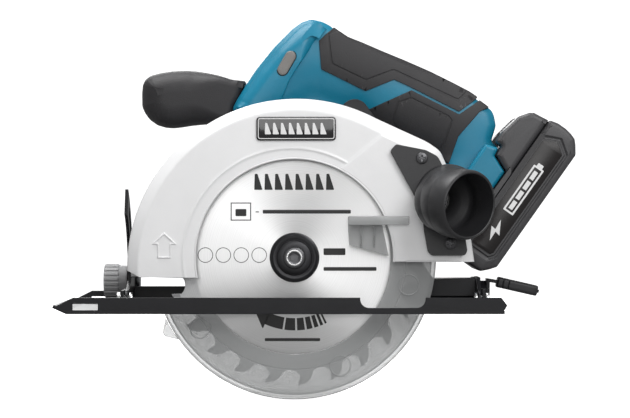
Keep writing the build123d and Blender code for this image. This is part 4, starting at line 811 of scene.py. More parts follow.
nose_outline = [(-75.0, -3.2, 0.2), (-76.8, -11.4, 1.2), (-75.6, -13.8, 1.2), (-67.5, -15.6, 0.3),
                (-70.4, -11.6, 0.2),
                (-72.8, -7.6, 0.2)]
lower_nose = slab("lower_guard_nose", [rounded(nose_outline, 0.5)], -10.0, -7.0, clear_guard, 0.5, 0.5,
                  steps=3)
dress(lower_nose, "lower_guard")
tab_outline = np.concatenate([[(54.9, 33.1), (50.2, 55.4), (50.0, 56.0), (31.2, 56.0), (31.2, 50.0),
                               (31.9, 39.5)]])
tab_plate = slab("lower_guard_tab_plate", [tab_outline], -10.0, -8.0, clear_guard, 0.3, 0.3, steps=2)
dress(tab_plate, "lower_guard")
tab_riser = slab("lower_guard_tab_riser", [rounded([(31.4, 51.3), (49.8, 51.3), (49.8, 55.4), (31.4, 56.1)],
                                                   0.6)],
                 -16.3, -9.9, clear_guard, 0.1, 0.1, steps=1)
dress(tab_riser, "lower_guard")
tab_bar = slab("lower_guard_tab_bar", [rounded([(31.2, 51.1), (66.6, 51.1), (66.6, 56.4), (31.2, 56.4)],
                                               0.9)],
               -18.5, -16.25, clear_guard, 0.5, 0.4, steps=3)
dress(tab_bar, "lower_guard")
for number, rib_x in enumerate((38.5, 46.0)):
    rib = slab(f"lower_guard_rib_{number}", [rounded([(rib_x, 38.6), (rib_x + 1.1, 38.3),
                                                      (rib_x + 1.1, 51.2), (rib_x, 51.2)], 0.2, 3)],
               -11.6, -9.95, clear_guard, 0.3, 0.05, steps=2)
    dress(rib, "lower_guard")
boss_angles = (216.8, 293.1, 346.6)                 # round bosses pressed in the near face
for number, boss_angle in enumerate(boss_angles):
    spot = arbor + 68.3 * np.array([math.cos(math.radians(boss_angle)), math.sin(math.radians(boss_angle))])
    boss = slab(f"lower_guard_boss_{number}", [arc(spot, 6.3, 0, 352, 48), arc(spot, 5.5, 352, 0, 48)],
                -10.35, -9.9,
                clear_guard, 0.15, 0.02, steps=2)
    dress(boss, "lower_guard")


# ------------------------------------------------------------------------------------------
# Handle shells: two blue nylon clamshells, 2.5 mm thick, meeting on the saw's middle plane
# and screwed together round the motor, the switch and the battery's receiver.
# ------------------------------------------------------------------------------------------
handle_y, grip_half, nose_half = 48.0, 18.5, 23.0
blue_nylon = surface("blue_nylon", (0.004, 0.195, 0.315), 0.38, mottle=0.05, mottle_scale=30, grain=1100,
                     grain_depth=0.00005, Specular_IOR_Level=0.4, Coat_Weight=0.1, Coat_Roughness=0.4)
pack_along = np.array([math.cos(math.atan2(0.817, 0.576)), math.sin(math.atan2(0.817, 0.576))])
pack_across = np.array([pack_along[1], -pack_along[0]])


def on_pack(points):
    """Points given along the battery's slide and across it towards the back, as (x, z); a third
    number, a corner radius, is kept."""
    return [(*(p[0] * pack_along + p[1] * pack_across), *p[2:]) for p in points]


def turned_left(loop):
    """The loop run counter-clockwise."""
    loop = np.asarray(loop, float)
    area = np.sum(loop[:, 0] * np.roll(loop[:, 1], -1) - np.roll(loop[:, 0], -1) * loop[:, 1])
    return loop if area > 0 else loop[::-1]


def smooth_loop(corners, ease, count=360):
    """A closed outline through the corners, resampled evenly and rounded by a running mean."""
    corners = np.asarray([c[:2] for c in corners], float)
    twice = np.concatenate([corners, corners, corners[:1]])
    around = np.sum(np.linalg.norm(np.diff(twice, axis=0), axis=1)) / 2
    fine = evenly(twice, 2 * count + 1, ease)
    half = count // 2
    return turned_left(fine[half:half + count])


def near_line(loop, line, within):
    """For each point of the loop, whether it lies within a distance of the open line."""
    line = evenly(line, 300)
    distance = np.linalg.norm(loop[:, None] - line[None], axis=2).min(axis=1)
    return distance < within


nose_top = [(-37.3, 121.1), (-34.6, 126.2), (-29, 135.4), (-23.5, 143.8), (-12.4, 157.6), (-1.3, 168.7),
            (4.2, 172.6),
            (9.8, 174.3), (16.2, 172.9), (21.4, 170.2)]
grip_top = [(25.6, 166), (31.1, 162.3), (39.5, 159), (51.3, 153.9), (65.8, 147.9), (80.2, 141.6),
            (94.7, 134.4),
            (103.9, 129.6), (108.2, 126.7), (113.5, 122.8), (117.8, 119.8), (119.4, 116.5)]
shell_corners = nose_top + grip_top + on_pack([(159.6, 35.0), (150.2, 38.0), (149.8, 43.4), (143.6, 45.6),
                                               (141, 46.3),
                                               (84, 46.3), (84, 34)]) + [(60, 38), (44, 40), (14, 58),
                                                       (-10, 84),
                                                                         (-34, 100)]
gap_corners = [(14, 112), (30, 111), (60, 103), (88, 88), (94, 80), (86, 54), (50, 52), (46, 62), (40, 78),
               (22, 93),
               (12, 98)]
shell_loop = smooth_loop(shell_corners, 3.0, 520)
gap_loop = smooth_loop(gap_corners, 5.0, 260)[::-1]
motor_axis = np.array([12.6, 57.84])
shell_rounding = 5.5 - 4.0 * (np.hypot(shell_loop[:, 0] - motor_axis[0],
                                       shell_loop[:, 1] - motor_axis[1]) < 50)


spine = evenly([(-30, 118), (-22, 130), (-4, 148), (14, 153), (34, 144), (60, 132), (84, 119), (102, 108),
                (108, 92),
                (98, 72), (84, 46)], 200, 12)


def crown(x, z):
    """How far the flank falls away towards the edges: the square of the distance from the handle's
    spine over 20 mm, times 3.6 mm, held at no more than 4.4 mm."""
    distance = np.min(np.hypot(x[:, None] - spine[None, :, 0], z[:, None] - spine[None, :, 1]), axis=1)
    return np.minimum(3.6 * (distance / 20) ** 2, 4.4)


def on_handle(points):
    """Places (x, z, depth) points on the crowned handle: the fall grows with the square of the
    distance from the middle plane."""
    out = points[:, 2] - handle_y
    fall = crown(points[:, 0], points[:, 1]) * (out / grip_half) ** 2 * np.sign(out)
    return np.column_stack([points[:, 0], handle_y + out - fall, points[:, 1]])


def clamshell(name, outer, inner_wall, sign, holes=()):
    """Half a shell: the side wall and flank of each loop, then the same drawn in by the wall,
    joined at the parting plane. Depth runs from the flank at grip_half to the middle."""
    quarter = np.linspace(0, math.pi / 2, 8)[:, None]
    points, faces, start = [], [], 0
    flank, inner_flank = [], []
    for loop, radius in outer:
        edge = np.broadcast_to(radius, len(loop))[None, :]
        moves = np.concatenate([edge * (1 - np.sin(quarter)), 0 * edge, 0 * edge + 0.35])
        levels = np.concatenate([grip_half - edge * (1 - np.cos(quarter)), 0 * edge + 0.5, 0 * edge])
        inner = np.maximum(edge - inner_wall, 0.3)
        moves = np.concatenate([moves, 0 * edge + inner_wall,
                                inner_wall + inner * (1 - np.sin(quarter[::-1]))])
        levels = np.concatenate([levels, 0 * edge, grip_half - inner_wall - inner
                                 * (1 - np.cos(quarter[::-1]))])
        rings = np.array([np.column_stack([shifted(loop, move[:, None]), level]) for move,
                          level in zip(moves, levels)])
        points.append(rings.reshape(-1, 3))
        faces += grid_faces(len(rings), len(loop), start, wrap_columns=True).tolist()
        flank.append(rings[0][:, :2])
        inner_flank.append(rings[-1][:, :2])
        start += len(rings) * len(loop)
    for hole in holes:
        hole = turned_left(hole)[::-1]
        rings = np.array([np.column_stack([hole, np.full(len(hole), level)]) for level in (grip_half,
                grip_half - inner_wall)])
        points.append(rings.reshape(-1, 3))
        faces += grid_faces(2, len(hole), start, wrap_columns=True).tolist()
        flank.append(hole)
        inner_flank.append(hole)
        start += 2 * len(hole)
    for loops, level in ((flank, grip_half), (inner_flank, grip_half - inner_wall)):
        flat, triangles = fill(loops, 3.5)
        points.append(np.column_stack([flat, np.full(len(flat), level)]))
        faces += (triangles + start).tolist()
        start += len(flat)
    points = np.concatenate(points)
    points[:, 2] = handle_y + sign * points[:, 2]
    return make_piece(name, on_handle(points), faces, blue_nylon, 30)


lock_spot, lock_turn = np.array([-4.9, 147.3]), math.radians(60.0)


def slot_loop(centre, heading, length, width, count=14):
    """Outline of a slot with round ends, its long way along the heading."""
    reach = (length - width) / 2
    way = np.array([math.cos(heading), math.sin(heading)])
    degrees = math.degrees(heading)
    return np.concatenate([arc(centre + way * reach, width / 2, degrees - 90, degrees + 90, count),
                           arc(centre - way * reach, width / 2, degrees + 90, degrees + 270, count)])


left_shell = clamshell("shell_left_skin", [(shell_loop, shell_rounding), (gap_loop, 4.0)], 2.5, -1,
                       [slot_loop(lock_spot, lock_turn, 16.6, 7.1)])
dress(left_shell, "saw", ["shell_left"])
right_shell = clamshell("shell_right_skin", [(shell_loop, shell_rounding), (gap_loop, 4.0)], 2.5, 1)
dress(right_shell, "saw", ["shell_right"])

# raised cheeks of the nose, with the lock-off button's bore in the left one
cheek_corners = [(-35.6, 121.5), (-33.0, 127.0), (-26.6, 136), (-21.5, 143.4), (-10.6, 156.6), (0.3, 167.4),
                 (5.0, 171.0),
                 (9.8, 172.6), (15.6, 171.2), (20.4, 168.4), (13.8, 161.6), (8.4, 154.8), (3.0, 147.3),
                 (-3.0, 137.6),
                 (-7.6, 126.4), (-12, 114), (-31, 112)]
cheek = smooth_loop(cheek_corners, 3.0, 300)
nose_roll = near_line(cheek, cheek_corners[:12], 1.5) * 1.0
nose_roll = np.convolve(np.concatenate([nose_roll[-10:], nose_roll, nose_roll[:10]]), np.ones(21) / 21,
                        "valid")
nose_roll = 0.8 + 7.7 * nose_roll
for name, near, far, near_edge, far_edge, holes in (
        ("shell_left_cheek", handle_y - nose_half, handle_y - 12.0, nose_roll, 0.1,
         [slot_loop(lock_spot, lock_turn, 16.6, 7.1)[::-1]]),
        ("shell_right_cheek", handle_y + 12.0, handle_y + nose_half, 0.1, nose_roll, [])):
    cheek_plate = slab(name, [cheek] + holes, near, far, blue_nylon, [near_edge] + [0.15] * len(holes),
                       [far_edge] + [0.1] * len(holes), steps=9, to_space=on_handle, spacing=3.0)
    dress(cheek_plate, "saw")

# receiver rails beside the battery's T rail
for number, (outline, near, far) in enumerate((
        ([(104.4, 54.4), (139, 54.4), (143.4, 43.8), (148.6, 43.2), (146, 35.6), (108, 35.6)], 17.0, 25.4),
        ([(84.4, 54.4), (104.6, 54.4), (106, 36), (88, 36)], 23.6, 25.4),
        ([(84.4, 54.4), (139, 54.4), (140.6, 50.8), (84.4, 50.8)], 25.2, 29.4),
        ([(84.4, 45.8), (142.4, 45.8), (146, 35.6), (88, 35.6)], 25.2, 30.2))):
    loop = turned_left(rounded(on_pack(outline), 1.2, 5))
    big = 2.0 if number < 2 else 0.3
    rail = slab(f"receiver_left_{number}", [loop], near, far, blue_nylon, big, 0.1, steps=4)
    dress(rail, "saw")
    rail = slab(f"receiver_right_{number}", [loop], 96 - far, 96 - near, blue_nylon, 0.1, big, steps=4)
    dress(rail, "saw")
for number, (x, z) in enumerate([(108.0, 98.0), (24.0, 126.0), (62.0, 45.0)]):
    cross_screw(f"shell_screw_{number}", x, z, handle_y + grip_half - 0.9, 3.2,
                                         "saw",
                                         dark_screw, 1)
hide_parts("shell_screws")
black_plastic = surface("black_plastic", (0.02, 0.02, 0.022), 0.45, mottle=0.1, grain=1200)
refinish("trigger", black_plastic, 0.8)
refinish("trigger_pivot", bright_steel)
refinish("switch_module", black_plastic, 0.3)

# lock-off button: a grey pill standing a little proud of the nose
button_grey = surface("button_grey", (0.19, 0.18, 0.17), 0.42, mottle=0.06, grain=1000)
button = slab("lock_off_pill", [slot_loop(lock_spot, lock_turn, 15.9, 6.4)], handle_y - nose_half - 1.15,
              35.7, button_grey,
              1.0, 0.2, steps=5)
dress(button, "lock_off", ["lock_off_button"])


# ------------------------------------------------------------------------------------------
# Grips: soft black rubber moulded over the handle's flanks and top in two fields, with a
# groove cut along each and a thin blue line of the shell left between them.
# ------------------------------------------------------------------------------------------
grip_rubber = surface("grip_rubber", (0.022, 0.021, 0.023), 0.55, mottle=0.08, mottle_scale=90, grain=1500,
                      grain_depth=0.00009, Specular_IOR_Level=0.45)
top_edge = [(x + 0.6, z + 1.2) for x, z in grip_top[:9]]
upper_edge = [(23.4, 169.2), (19.0, 165.4), (14.4, 161), (15.7, 143.9), (42.2, 130.8), (59.3, 137.7),
              (68.2, 133.6),
              (98.1, 118.5), (106.5, 124.6), (109.4, 127.2)]
upper_groove = [(23.6, 168.4), (19.8, 165.1), (21, 152.7), (21.9, 146.9), (42.5, 137), (58.9, 143.3),
                (97.7, 125.3),
                (102.6, 131.0)]
lower_edge = [(50.2, 108.0), (44.4, 120.1), (69.6, 131.4), (98.1, 117.0), (110.6, 125.6), (116.3, 121.4),
              (110.6, 118.6),
              (97.7, 103.8), (92, 87.4), (88, 88.9), (60, 103.9)]
lower_groove = [(58.0, 113.0), (61.3, 124.3), (69.6, 127), (92.2, 116), (94.2, 113), (90.0, 101),
                (86.0, 95.0),
                (60.5, 108.6)]


def softened(loop, line, within, wide, narrow=0.45, blend=15):
    """An edge rounding for each point: wide beside the open line, narrow elsewhere, with the
    change between them spread over some points by a running mean."""
    radius = np.where(near_line(loop, line, within), wide, narrow)
    half = blend // 2
    return np.convolve(np.concatenate([radius[-half:], radius, radius[:half]]), np.ones(blend) / blend,
                       "valid")


def rubber_pair(name, loops, edges, skin_step, depth, nodes=()):
    """The same rubber field on both flanks, skin_step mm below the outermost rubber."""
    outside = grip_half + 0.95 - skin_step
    left = slab(f"{name}_left", loops, handle_y - outside, handle_y - outside + depth, grip_rubber, edges,
                0.1, steps=7,
                to_space=on_handle, spacing=3.0)
    right = slab(f"{name}_right", loops, handle_y + outside - depth, handle_y + outside, grip_rubber, 0.1,
                 edges, steps=7,
                 to_space=on_handle, spacing=3.0)
    dress(left, "saw", nodes)
    dress(right, "saw")


top_inner = [(27.0, 166.6)] + top_edge[1:7] + [(102.8, 131.6)]
upper_inner = [tuple(p) for p in shifted(evenly([(25.4, 167.4)] + upper_groove[1:7] + [(102.2, 129.4)], 120,
                                                2.0), 0.6,
                                         closed=False)]
upper_panel = smooth_loop(upper_inner + top_inner[::-1], 1.0, 420)
rubber_pair("grip_upper_panel", [upper_panel], [softened(upper_panel, top_inner[1:-2], 1.0, 3.4, blend=31)],
            0.0, 6.2, ["grip_upper"])
upper_whole = smooth_loop(upper_edge + top_edge[::-1], 1.0, 420)
rubber_pair("grip_upper_base", [upper_whole], [softened(upper_whole, top_edge[1:-2], 1.0, 3.4, blend=31)],
            0.45, 6.0)
upper_strip = smooth_loop(upper_edge[:-1] + [(107.4, 126.6), (103.9, 128.9),
                                             (98.2, 124.6)] + upper_groove[5:0:-1] +
                          [(20.6, 165.4), (22.6, 167.6)], 0.5, 420)
rubber_pair("grip_upper_strip", [upper_strip], [0.3], 0.0, 3.0)
top_strip = slab("grip_upper_top", [smooth_loop([(x + 0.1, z + 0.1) for x, z in top_edge] +
                                                [(x - 2.5, z - 4.6) for x, z in reversed(top_edge)], 0.8,
                                                240)],
                 handle_y - 14.0, handle_y + 14.0, grip_rubber, 0.1, 0.1, steps=1)
dress(top_strip, "saw")
lower_whole = smooth_loop(lower_edge, 1.0, 400)
lower_pad = smooth_loop(lower_groove, 2.0, 300)
under_line = [(52.0, 107.0), (60, 103.9), (88, 88.9)]
lower_soft = softened(lower_whole, under_line, 1.6, 3.6)
rubber_pair("grip_lower_base", [lower_whole], [softened(lower_whole, under_line, 1.6, 3.2)], 0.45, 5.0,
            ["grip_lower"])
rubber_pair("grip_lower_band", [lower_whole, lower_pad[::-1]], [lower_soft, 0.3], 0.0, 3.0)
rubber_pair("grip_lower_pad", [shifted(lower_pad, 0.7)], [0.3], 0.0, 3.0)


# ------------------------------------------------------------------------------------------
# Front handle: a hollow rubber-covered knob, club shaped, plugged into the nose of the shells.
# ------------------------------------------------------------------------------------------
front_corners = [(-29.4, 137.2), (-38.0, 138.2), (-46.1, 140.8), (-53.1, 142.5), (-60.0, 143.6),
                 (-66.0, 144.0),
                 (-74.0, 143.6), (-81.0, 142.6), (-87.2, 141.0), (-90.4, 138.6), (-92.0, 135.5),
                 (-92.5, 130.3),
                 (-92.4, 122.2), (-90.6, 118.1), (-87.6, 114.1), (-83.0, 110.9), (-77.8, 109.4),
                 (-73.2, 109.1),
                 (-68.0, 109.7), (-62.2, 110.6), (-54.0, 111.5), (-37.6, 112.5), (-36.2, 121.6),
                 (-33.4, 126.8)]
front_loop = smooth_loop(front_corners, 2.6, 400)
reach_in = np.clip((-40 - front_loop[:, 0]) / 22, 0, 1)
front_rounding = 4.5 + 9.0 * reach_in * reach_in * (3 - 2 * reach_in)
front_knob = slab("front_handle_knob", [front_loop], handle_y - 14, handle_y + 14, grip_rubber,
                  [front_rounding],
                  [front_rounding], steps=14, crease=50)
dress(front_knob, "saw", ["front_handle"])


# ------------------------------------------------------------------------------------------
# Battery: a dark grey moulded case under a cover, clipped to the handle's receiver. Its flanks
# step inwards round a black label, which carries a plain lightning flash and a charge bar.
# ------------------------------------------------------------------------------------------
pack_grey = surface("pack_grey", (0.058, 0.057, 0.060), 0.44, mottle=0.07, mottle_scale=80, grain=1200,
                    grain_depth=0.00006)
label_black = surface("label_black", (0.006, 0.004, 0.004), 0.30, mottle=0.1, grain_depth=0.00001)
case_corners = [(82.3, 58.1, 1), (82.3, 76.0, 3), (86.2, 79.8, 3), (90.3, 82.9, 2), (171.4, 82.9, 3),
                (176.3, 79.3, 2),
                (178.9, 76.9, 2), (180.1, 73.3, 2), (180.8, 69.1, 2), (180.8, 63.6, 3), (179.4, 58.1, 2)]
case_loop = turned_left(evenly(np.concatenate([rounded(on_pack(case_corners), 2, 8),
                                               rounded(on_pack(case_corners), 2, 8)[:1]]), 421)[:-1])
frame_corners = [(89.6, 60.4), (89.6, 76.0), (94.2, 79.6), (168.4, 79.6), (175.0, 70.4), (169.8, 58.9),
                 (92, 58.9)]
ledge_corners = [(91.6, 61.2), (91.6, 75.4), (95.1, 78.0), (167.6, 78.0), (173.2, 69.9), (168.4, 60.3),
                 (93.4, 60.3)]
label_corners = [(94, 62.6), (94, 74.8), (96, 76.2), (166.5, 76.2), (171.4, 69.3), (166.8, 61.8), (95, 61.8)]


def stepped_flank(name, loops_and_levels, sign, material, body, nodes):
    """Half of a case: rings of equal count joined from the middle plane out to the flank, where
    the last ring is filled."""
    rings = np.array([np.column_stack([loop, np.full(len(loop), level)]) for loop, level in loops_and_levels])
    points = [rings.reshape(-1, 3)]
    faces = grid_faces(len(rings), rings.shape[1], wrap_columns=True).tolist()
    start = rings.shape[0] * rings.shape[1]
    for loop, level in (loops_and_levels[0], loops_and_levels[-1]):
        flat, triangles = fill([loop])
        points.append(np.column_stack([flat, np.full(len(flat), level)]))
        faces += (triangles + start).tolist()
        start += len(flat)
    points = np.concatenate(points)
    points = np.column_stack([points[:, 0], handle_y + sign * points[:, 2], points[:, 1]])
    return dress(make_piece(name, points, faces, material, 26), body, nodes)


def match_ring(loop, corners, radius=1.2):
    """The outline through corners, resampled to start beside the loop's first point with the same
    number of points."""
    ring = rounded(on_pack(corners), radius, 8)
    ring = turned_left(ring)
    ring = evenly(np.concatenate([ring, ring[:1]]), 4201)[:-1]
    middle = ring.mean(axis=0)
    heading = np.arctan2(*(loop - middle).T[::-1])
    place = np.arctan2(*(ring - middle).T[::-1])
    order = np.argsort(place)
    return ring[order][np.searchsorted(place[order], heading) % len(ring)]


case_rings = [(case_loop, 0.2), (case_loop, 30.4)]
case_rings += [(shifted(case_loop, 2.6 * (1 - math.cos(step))), 30.4 + 2.6 * math.sin(step))
               for step in np.linspace(0.25, math.pi / 2, 6)]
frame_ring = match_ring(case_loop, frame_corners)
ledge_ring = match_ring(case_loop, ledge_corners)
case_rings += [(shifted(case_loop, 3.2), 33.15), (shifted(frame_ring, -0.3), 33.5), (frame_ring, 33.5),
               (shifted(frame_ring, 0.3), 33.3), (shifted(ledge_ring, -0.5), 32.55), (ledge_ring, 32.5),
               (shifted(ledge_ring, 0.5), 32.7), (shifted(ledge_ring, 0.9), 33.4)]
stepped_flank("battery_case_left", case_rings, -1, pack_grey, "battery", ["battery_case"])
stepped_flank("battery_case_right", case_rings, 1, pack_grey, "battery", [])
for sign, side_name in ((-1, "left"), (1, "right")):
    low, high = (13.95, 15.0) if sign < 0 else (81.0, 82.05)
    label = slab(f"battery_label_{side_name}", [turned_left(rounded(on_pack(label_corners), 0.8, 5))], low,
                 high,
                 label_black, 0.12, 0.12, steps=2)
    dress(label, "battery", ["battery_label"] if sign < 0 else [])
    low, high = (13.85, 14.1) if sign < 0 else (81.9, 82.15)
    flash = [(100.5, 70.2), (108.4, 66.0), (108.0, 69.0), (114.6, 68.4), (106.2, 73.2), (106.8, 70.0)]
    flash_mark = slab(f"battery_flash_{side_name}", [turned_left(on_pack(flash))], low, high, pale_print,
                      0.03, 0.03, steps=1)
    dress(flash_mark, "battery")
    cell_out = [(120.4, 65.8), (152.6, 65.8), (152.6, 67.4), (154.8, 67.4), (154.8, 71.2), (152.6, 71.2),
                (152.6, 72.8),
                (120.4, 72.8)]
    cell_in = [(121.5, 66.9), (151.5, 66.9), (151.5, 71.7), (121.5, 71.7)]
    outline_mark = slab(f"battery_gauge_{side_name}", [turned_left(rounded(on_pack(cell_out), 0.4, 3)),
                                                       turned_left(on_pack(cell_in))[::-1]], low, high,
                        pale_print,
                        0.03, 0.03, steps=1)
    dress(outline_mark, "battery")
    for number in range(4):
        left = 122.8 + 7.1 * number
        bar = slab(f"battery_bar_{side_name}_{number}", [turned_left(on_pack([(left, 68.0),
                (left + 5.6, 68.0),
                                                                             (left + 5.6, 70.6),
                                                                                     (left, 70.6)]))],
                   low, high, pale_print, 0.03, 0.03, steps=1)
        dress(bar, "battery")

cover_corners = [(82.6, 54.9, 0.5), (82.6, 57.8, 0.5), (179.0, 57.8, 0.6), (178.2, 52.4, 2), (177.7, 48.2, 2),
                 (176.0, 45.8, 2), (170.6, 41.9, 3), (158.1, 39.5, 3), (150.6, 39.3, 2), (150.6, 43.9, 1),
                 (144.4, 44.4, 1),
                 (139.8, 54.8, 1)]
cover_loop = turned_left(rounded(on_pack(cover_corners), 1, 7))
for sign, side_name in ((-1, "left"), (1, "right")):
    near, far = (14.8, 32.5) if sign < 0 else (63.5, 81.2)
    cheek_piece = slab(f"battery_cover_{side_name}", [cover_loop], near, far, pack_grey,
                       3.0 if sign < 0 else 0.2,
                       0.2 if sign < 0 else 3.0, steps=6)
    dress(cheek_piece, "battery", ["battery_cover"] if sign < 0 else [])
middle_corners = [(82.6, 54.9), (82.6, 57.8), (179.0, 57.8), (178.2, 52.4), (177.8, 50.9), (154.5, 50.9),
                  (154.5, 44.0),
                  (150.6, 43.9), (144.4, 44.4), (139.8, 54.8)]
cover_middle = slab("battery_cover_middle", [turned_left(rounded(on_pack(middle_corners), 0.4, 3))], 32.4,
                    63.6, pack_grey,
                    0.05, 0.05, steps=1)
dress(cover_middle, "battery")
for name, corners, near, far in (("stem", [(90, 50.2), (90, 55.2), (143, 55.2), (145, 50.2)], 30.2, 65.8),
                                 ("head", [(90.2, 46.9), (90.2, 50.0), (145.8, 50.0), (149.2, 46.9)], 26.1,
                                  69.9)):
    rail_part = slab(f"battery_rail_{name}", [turned_left(rounded(on_pack(corners), 0.4, 3))], near, far,
                     pack_grey, 0.4, 0.4)
    dress(rail_part, "battery")

# latch: a ridged thumb button across the cover's upper end
latch_low = [(155.6, 47.4), (155.6, 43.2), (158.6, 40.3)]
ridge_share = np.linspace(0, 1, 60)
ridge_top = np.stack([158.6 + 12.2 * ridge_share,
                      40.6 + 2.4 * ridge_share - 0.45 * np.abs(np.sin(ridge_share * math.pi * 5)) ** 0.6],
                     axis=1)
latch_line = latch_low + [tuple(p) for p in ridge_top] + [(175.2, 46.3), (176.1, 47.4)]
latch_piece = slab("battery_latch_button", [turned_left(on_pack(latch_line))], 33.15, 62.85, pack_grey, 0.5,
                   0.5)
dress(latch_piece, "latch", ["battery_latch"])
cell_wrap = surface("cell_wrap", (0.02, 0.25, 0.09), 0.35, mottle=0.08)
refinish("battery_cells", cell_wrap)
refinish("terminal_block", black_plastic, 0.3)


# ------------------------------------------------------------------------------------------
# Bevel knob and clamp levers: ribbed grey nylon knob on the front clamp, and a bent steel
# strip with a soft black sleeve at the rear.
# ------------------------------------------------------------------------------------------
knob_grey = surface("knob_grey", (0.36, 0.36, 0.365), 0.5, mottle=0.08, grain=1100)
knob_low, knob_high = (np.array(corner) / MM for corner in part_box("bevel_knob"))
knob_centre = (knob_low[1:] + knob_high[1:]) / 2
knob_radius = min(knob_high[1:] - knob_low[1:]) / 2
knob_length = knob_high[0] - knob_low[0]
around = 240
angle = np.linspace(0, 2 * math.pi, around, endpoint=False)
flute = 0.55 * np.clip(np.cos(angle * 20) * 1.6 - 0.2, 0, 1)            # twenty ribs round the grip
knob_profile = [(0.01, 0.0, 0), (0.80, 0.0, 0), (0.92, 0.02, 0), (0.985, 0.06, 1), (0.985, 0.10, 1),
                (0.985, 0.55, 1),
                (0.985, 0.60, 1), (0.93, 0.64, 0), (0.90, 0.68, 0), (0.90, 0.90, 0), (0.86, 0.97, 0),
                (0.75, 0.995, 0),
                (0.32, 0.995, 0), (0.32, 0.98, 0)]
knob_rings = []
for reach, along, ribbed in knob_profile:
    radius = reach * knob_radius - flute * ribbed
    knob_rings.append(np.stack([np.full(around, knob_low[0] + 0.05 + along * (knob_length - 0.1)),
                                knob_centre[0] + radius * np.cos(angle),
                                knob_centre[1] + radius * np.sin(angle)], axis=-1))
knob_rings.append(knob_rings[-1] * 0 + [knob_low[0] + 0.9 * knob_length, *knob_centre])
knob_piece = make_piece("bevel_knob_grip", np.array(knob_rings).reshape(-1, 3),
                        grid_faces(len(knob_rings), around, wrap_columns=True), knob_grey, 35)
dress(knob_piece, "knob", ["bevel_knob"])
refinish("bevel_lever", black_paint, 0.3)
refinish("depth_lever", black_plastic, 0.6)
sleeve_rubber = surface("sleeve_rubber", (0.014, 0.014, 0.016), 0.5, mottle=0.1, grain=1200)
sleeve_start, sleeve_way = np.array([122.5, 57, 16.2]), np.array([27.0, 0, -6.2]) / math.hypot(27.0, 6.2)
sleeve_up = np.array([6.2, 0, 27.0]) / math.hypot(27.0, 6.2)
sleeve_turn = np.linspace(0, 2 * math.pi, 96, endpoint=False)
square_round = (np.abs(np.cos(sleeve_turn)) ** 5 + np.abs(np.sin(sleeve_turn)) ** 5) ** (-1 / 5)
sleeve_rings = []
for along, share in ((0.0, 0.01), (0.0, 0.8), (0.25, 0.93), (0.8, 0.985), (3.0, 0.985), (3.5, 0.93),
                     (4.0, 0.985),
                     (6.5, 0.985), (7.0, 0.93), (7.5, 0.985), (21.5, 0.985), (24.0, 0.97), (24.8, 0.9),
                     (25.0, 0.75),
                     (25.0, 0.01)):
    sleeve_rings.append(sleeve_start + along * sleeve_way
                        + share * 7.5 * (square_round * np.cos(sleeve_turn))[:, None] * [0, 1.0, 0]
                        + share * 3.3 * (square_round * np.sin(sleeve_turn))[:, None] * sleeve_up)
sleeve = make_piece("lever_sleeve_grip", np.array(sleeve_rings).reshape(-1, 3),
                    grid_faces(len(sleeve_rings), 96, wrap_columns=True), sleeve_rubber, 35)
dress(sleeve, "clamp_lever", ["lever_sleeve"])


# ------------------------------------------------------------------------------------------
# Gear case and motor: a cast aluminium case behind the guard, then a blue tube for the motor
# with a vented end cap. The rotor, gears and bearings are inside.
# ------------------------------------------------------------------------------------------
cast = surface("cast_aluminium", (0.46, 0.465, 0.47), 0.48, metallic=1.0, mottle=0.12, mottle_scale=90,
               grain=380,
               grain_depth=0.00012)
copper = surface("copper", (0.60, 0.26, 0.12), 0.35, metallic=1.0, mottle=0.15)
refinish("gear_case", cast, 0.5)
refinish("spindle_lock_button", black_plastic, 0.2)
refinish("guard_hub", clear_guard)
refinish("guard_spring", zinc)
refinish("guard_bumper", sleeve_rubber, 0.3)
for node in ("spindle_bearing", "spindle_rear_bearing", "motor_front_bearing", "motor_rear_bearing",
             "motor_shaft"):
    refinish(node, bright_steel)
for node in ("spindle", "spindle_gear", "inner_flange", "motor_pinion"):
    refinish(node, zinc)
for node in ("motor_stator", "armature", "commutator"):
    refinish(node, copper)
refinish("brush_holders", black_plastic)
refinish("motor_fan", black_plastic)
refinish("motor_housing", blue_nylon, 0.4)
refinish("motor_end_cap", blue_nylon, 0.3)


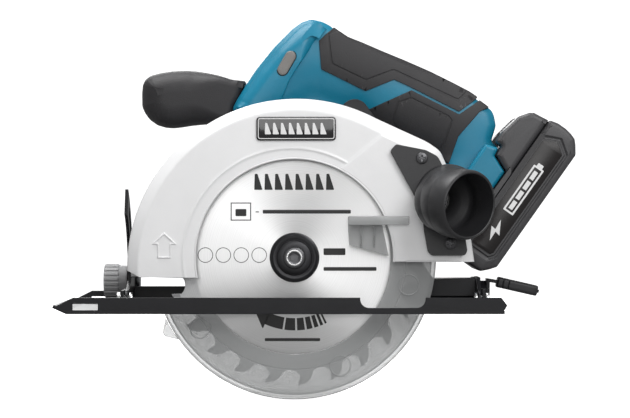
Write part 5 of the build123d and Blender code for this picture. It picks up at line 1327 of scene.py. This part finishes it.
# ------------------------------------------------------------------------------------------
# Studio: a wide pale dish that rolls up into a wall all round, soft boxes, and a long lens
# level with the saw, square to the blade.
# ------------------------------------------------------------------------------------------
floor_height = cad_low[2] / MM - 2.0
wall_turn = np.linspace(0, math.pi / 2, 24)
reach_line = np.concatenate([np.linspace(0, 3000, 30), 3000 + 700 * np.sin(wall_turn), [3700]])
height_line = np.concatenate([np.zeros(30), 700 - 700 * np.cos(wall_turn), [3400]]) + floor_height
dish_angle = np.linspace(0, 2 * math.pi, 96, endpoint=False)[:, None]
dish = np.stack([reach_line * np.cos(dish_angle), reach_line * np.sin(dish_angle),
                 np.broadcast_to(height_line, (96, len(height_line)))], axis=-1)
floor_mesh = bpy.data.meshes.new("floor")
floor_mesh.from_pydata((dish.reshape(-1, 3) * MM).tolist(), [],
                       grid_faces(96, len(reach_line), wrap_rows=True)[:, ::-1].tolist())
floor_mesh.shade_smooth()
floor = bpy.data.objects.new("floor", floor_mesh)
bpy.context.scene.collection.objects.link(floor)
floor_paint = surface("floor_paint", (0.93, 0.93, 0.93), 0.75, mottle=0.01, mottle_scale=3, grain_depth=0.0,
                      Emission_Color=(1, 1, 1, 1), Emission_Strength=0.85)
floor_mesh.materials.append(floor_paint)
floor.visible_diffuse = False                      # the dish is seen, and lends no light of its own
floor.visible_glossy = False
floor.visible_shadow = False

world = bpy.data.worlds.new("studio")
world.use_nodes = True
world.node_tree.nodes["Background"].inputs["Color"].default_value = (1, 1, 1, 1)
world.node_tree.nodes["Background"].inputs["Strength"].default_value = 0.34
bpy.context.scene.world = world


def soft_box(name, place, aim, size, power):
    """A square soft light at a place, turned towards an aim point, all in metres."""
    lamp = bpy.data.lights.new(name, "AREA")
    lamp.size = size
    lamp.energy = power
    box = bpy.data.objects.new(name, lamp)
    box.location = place
    box.rotation_euler = (Vector(aim) - Vector(place)).to_track_quat("-Z", "Y").to_euler()
    bpy.context.scene.collection.objects.link(box)


soft_box("key", (0.85, -1.2, 1.05), (0.0, 0.0, 0.06), 0.9, 14)
soft_box("front", (0.1, -1.6, 0.5), (0.0, 0.0, 0.06), 0.8, 6)
soft_box("top", (-0.35, 0.05, 1.25), (0.0, 0.0, 0.06), 0.9, 16)
soft_box("back", (-0.3, 1.6, 0.8), (0.0, 0.0, 0.06), 0.9, 12)

lens = bpy.data.cameras.new("camera")
lens.sensor_width = 36.0
lens.lens = 146.3
lens.clip_end = 20.0
viewer = bpy.data.objects.new("camera", lens)
viewer.location = (0.012, -1.5, 0.0604)
viewer.rotation_euler = (math.pi / 2, 0, 0)
bpy.context.scene.collection.objects.link(viewer)
bpy.context.scene.camera = viewer
bpy.context.scene.view_settings.view_transform = "Standard"
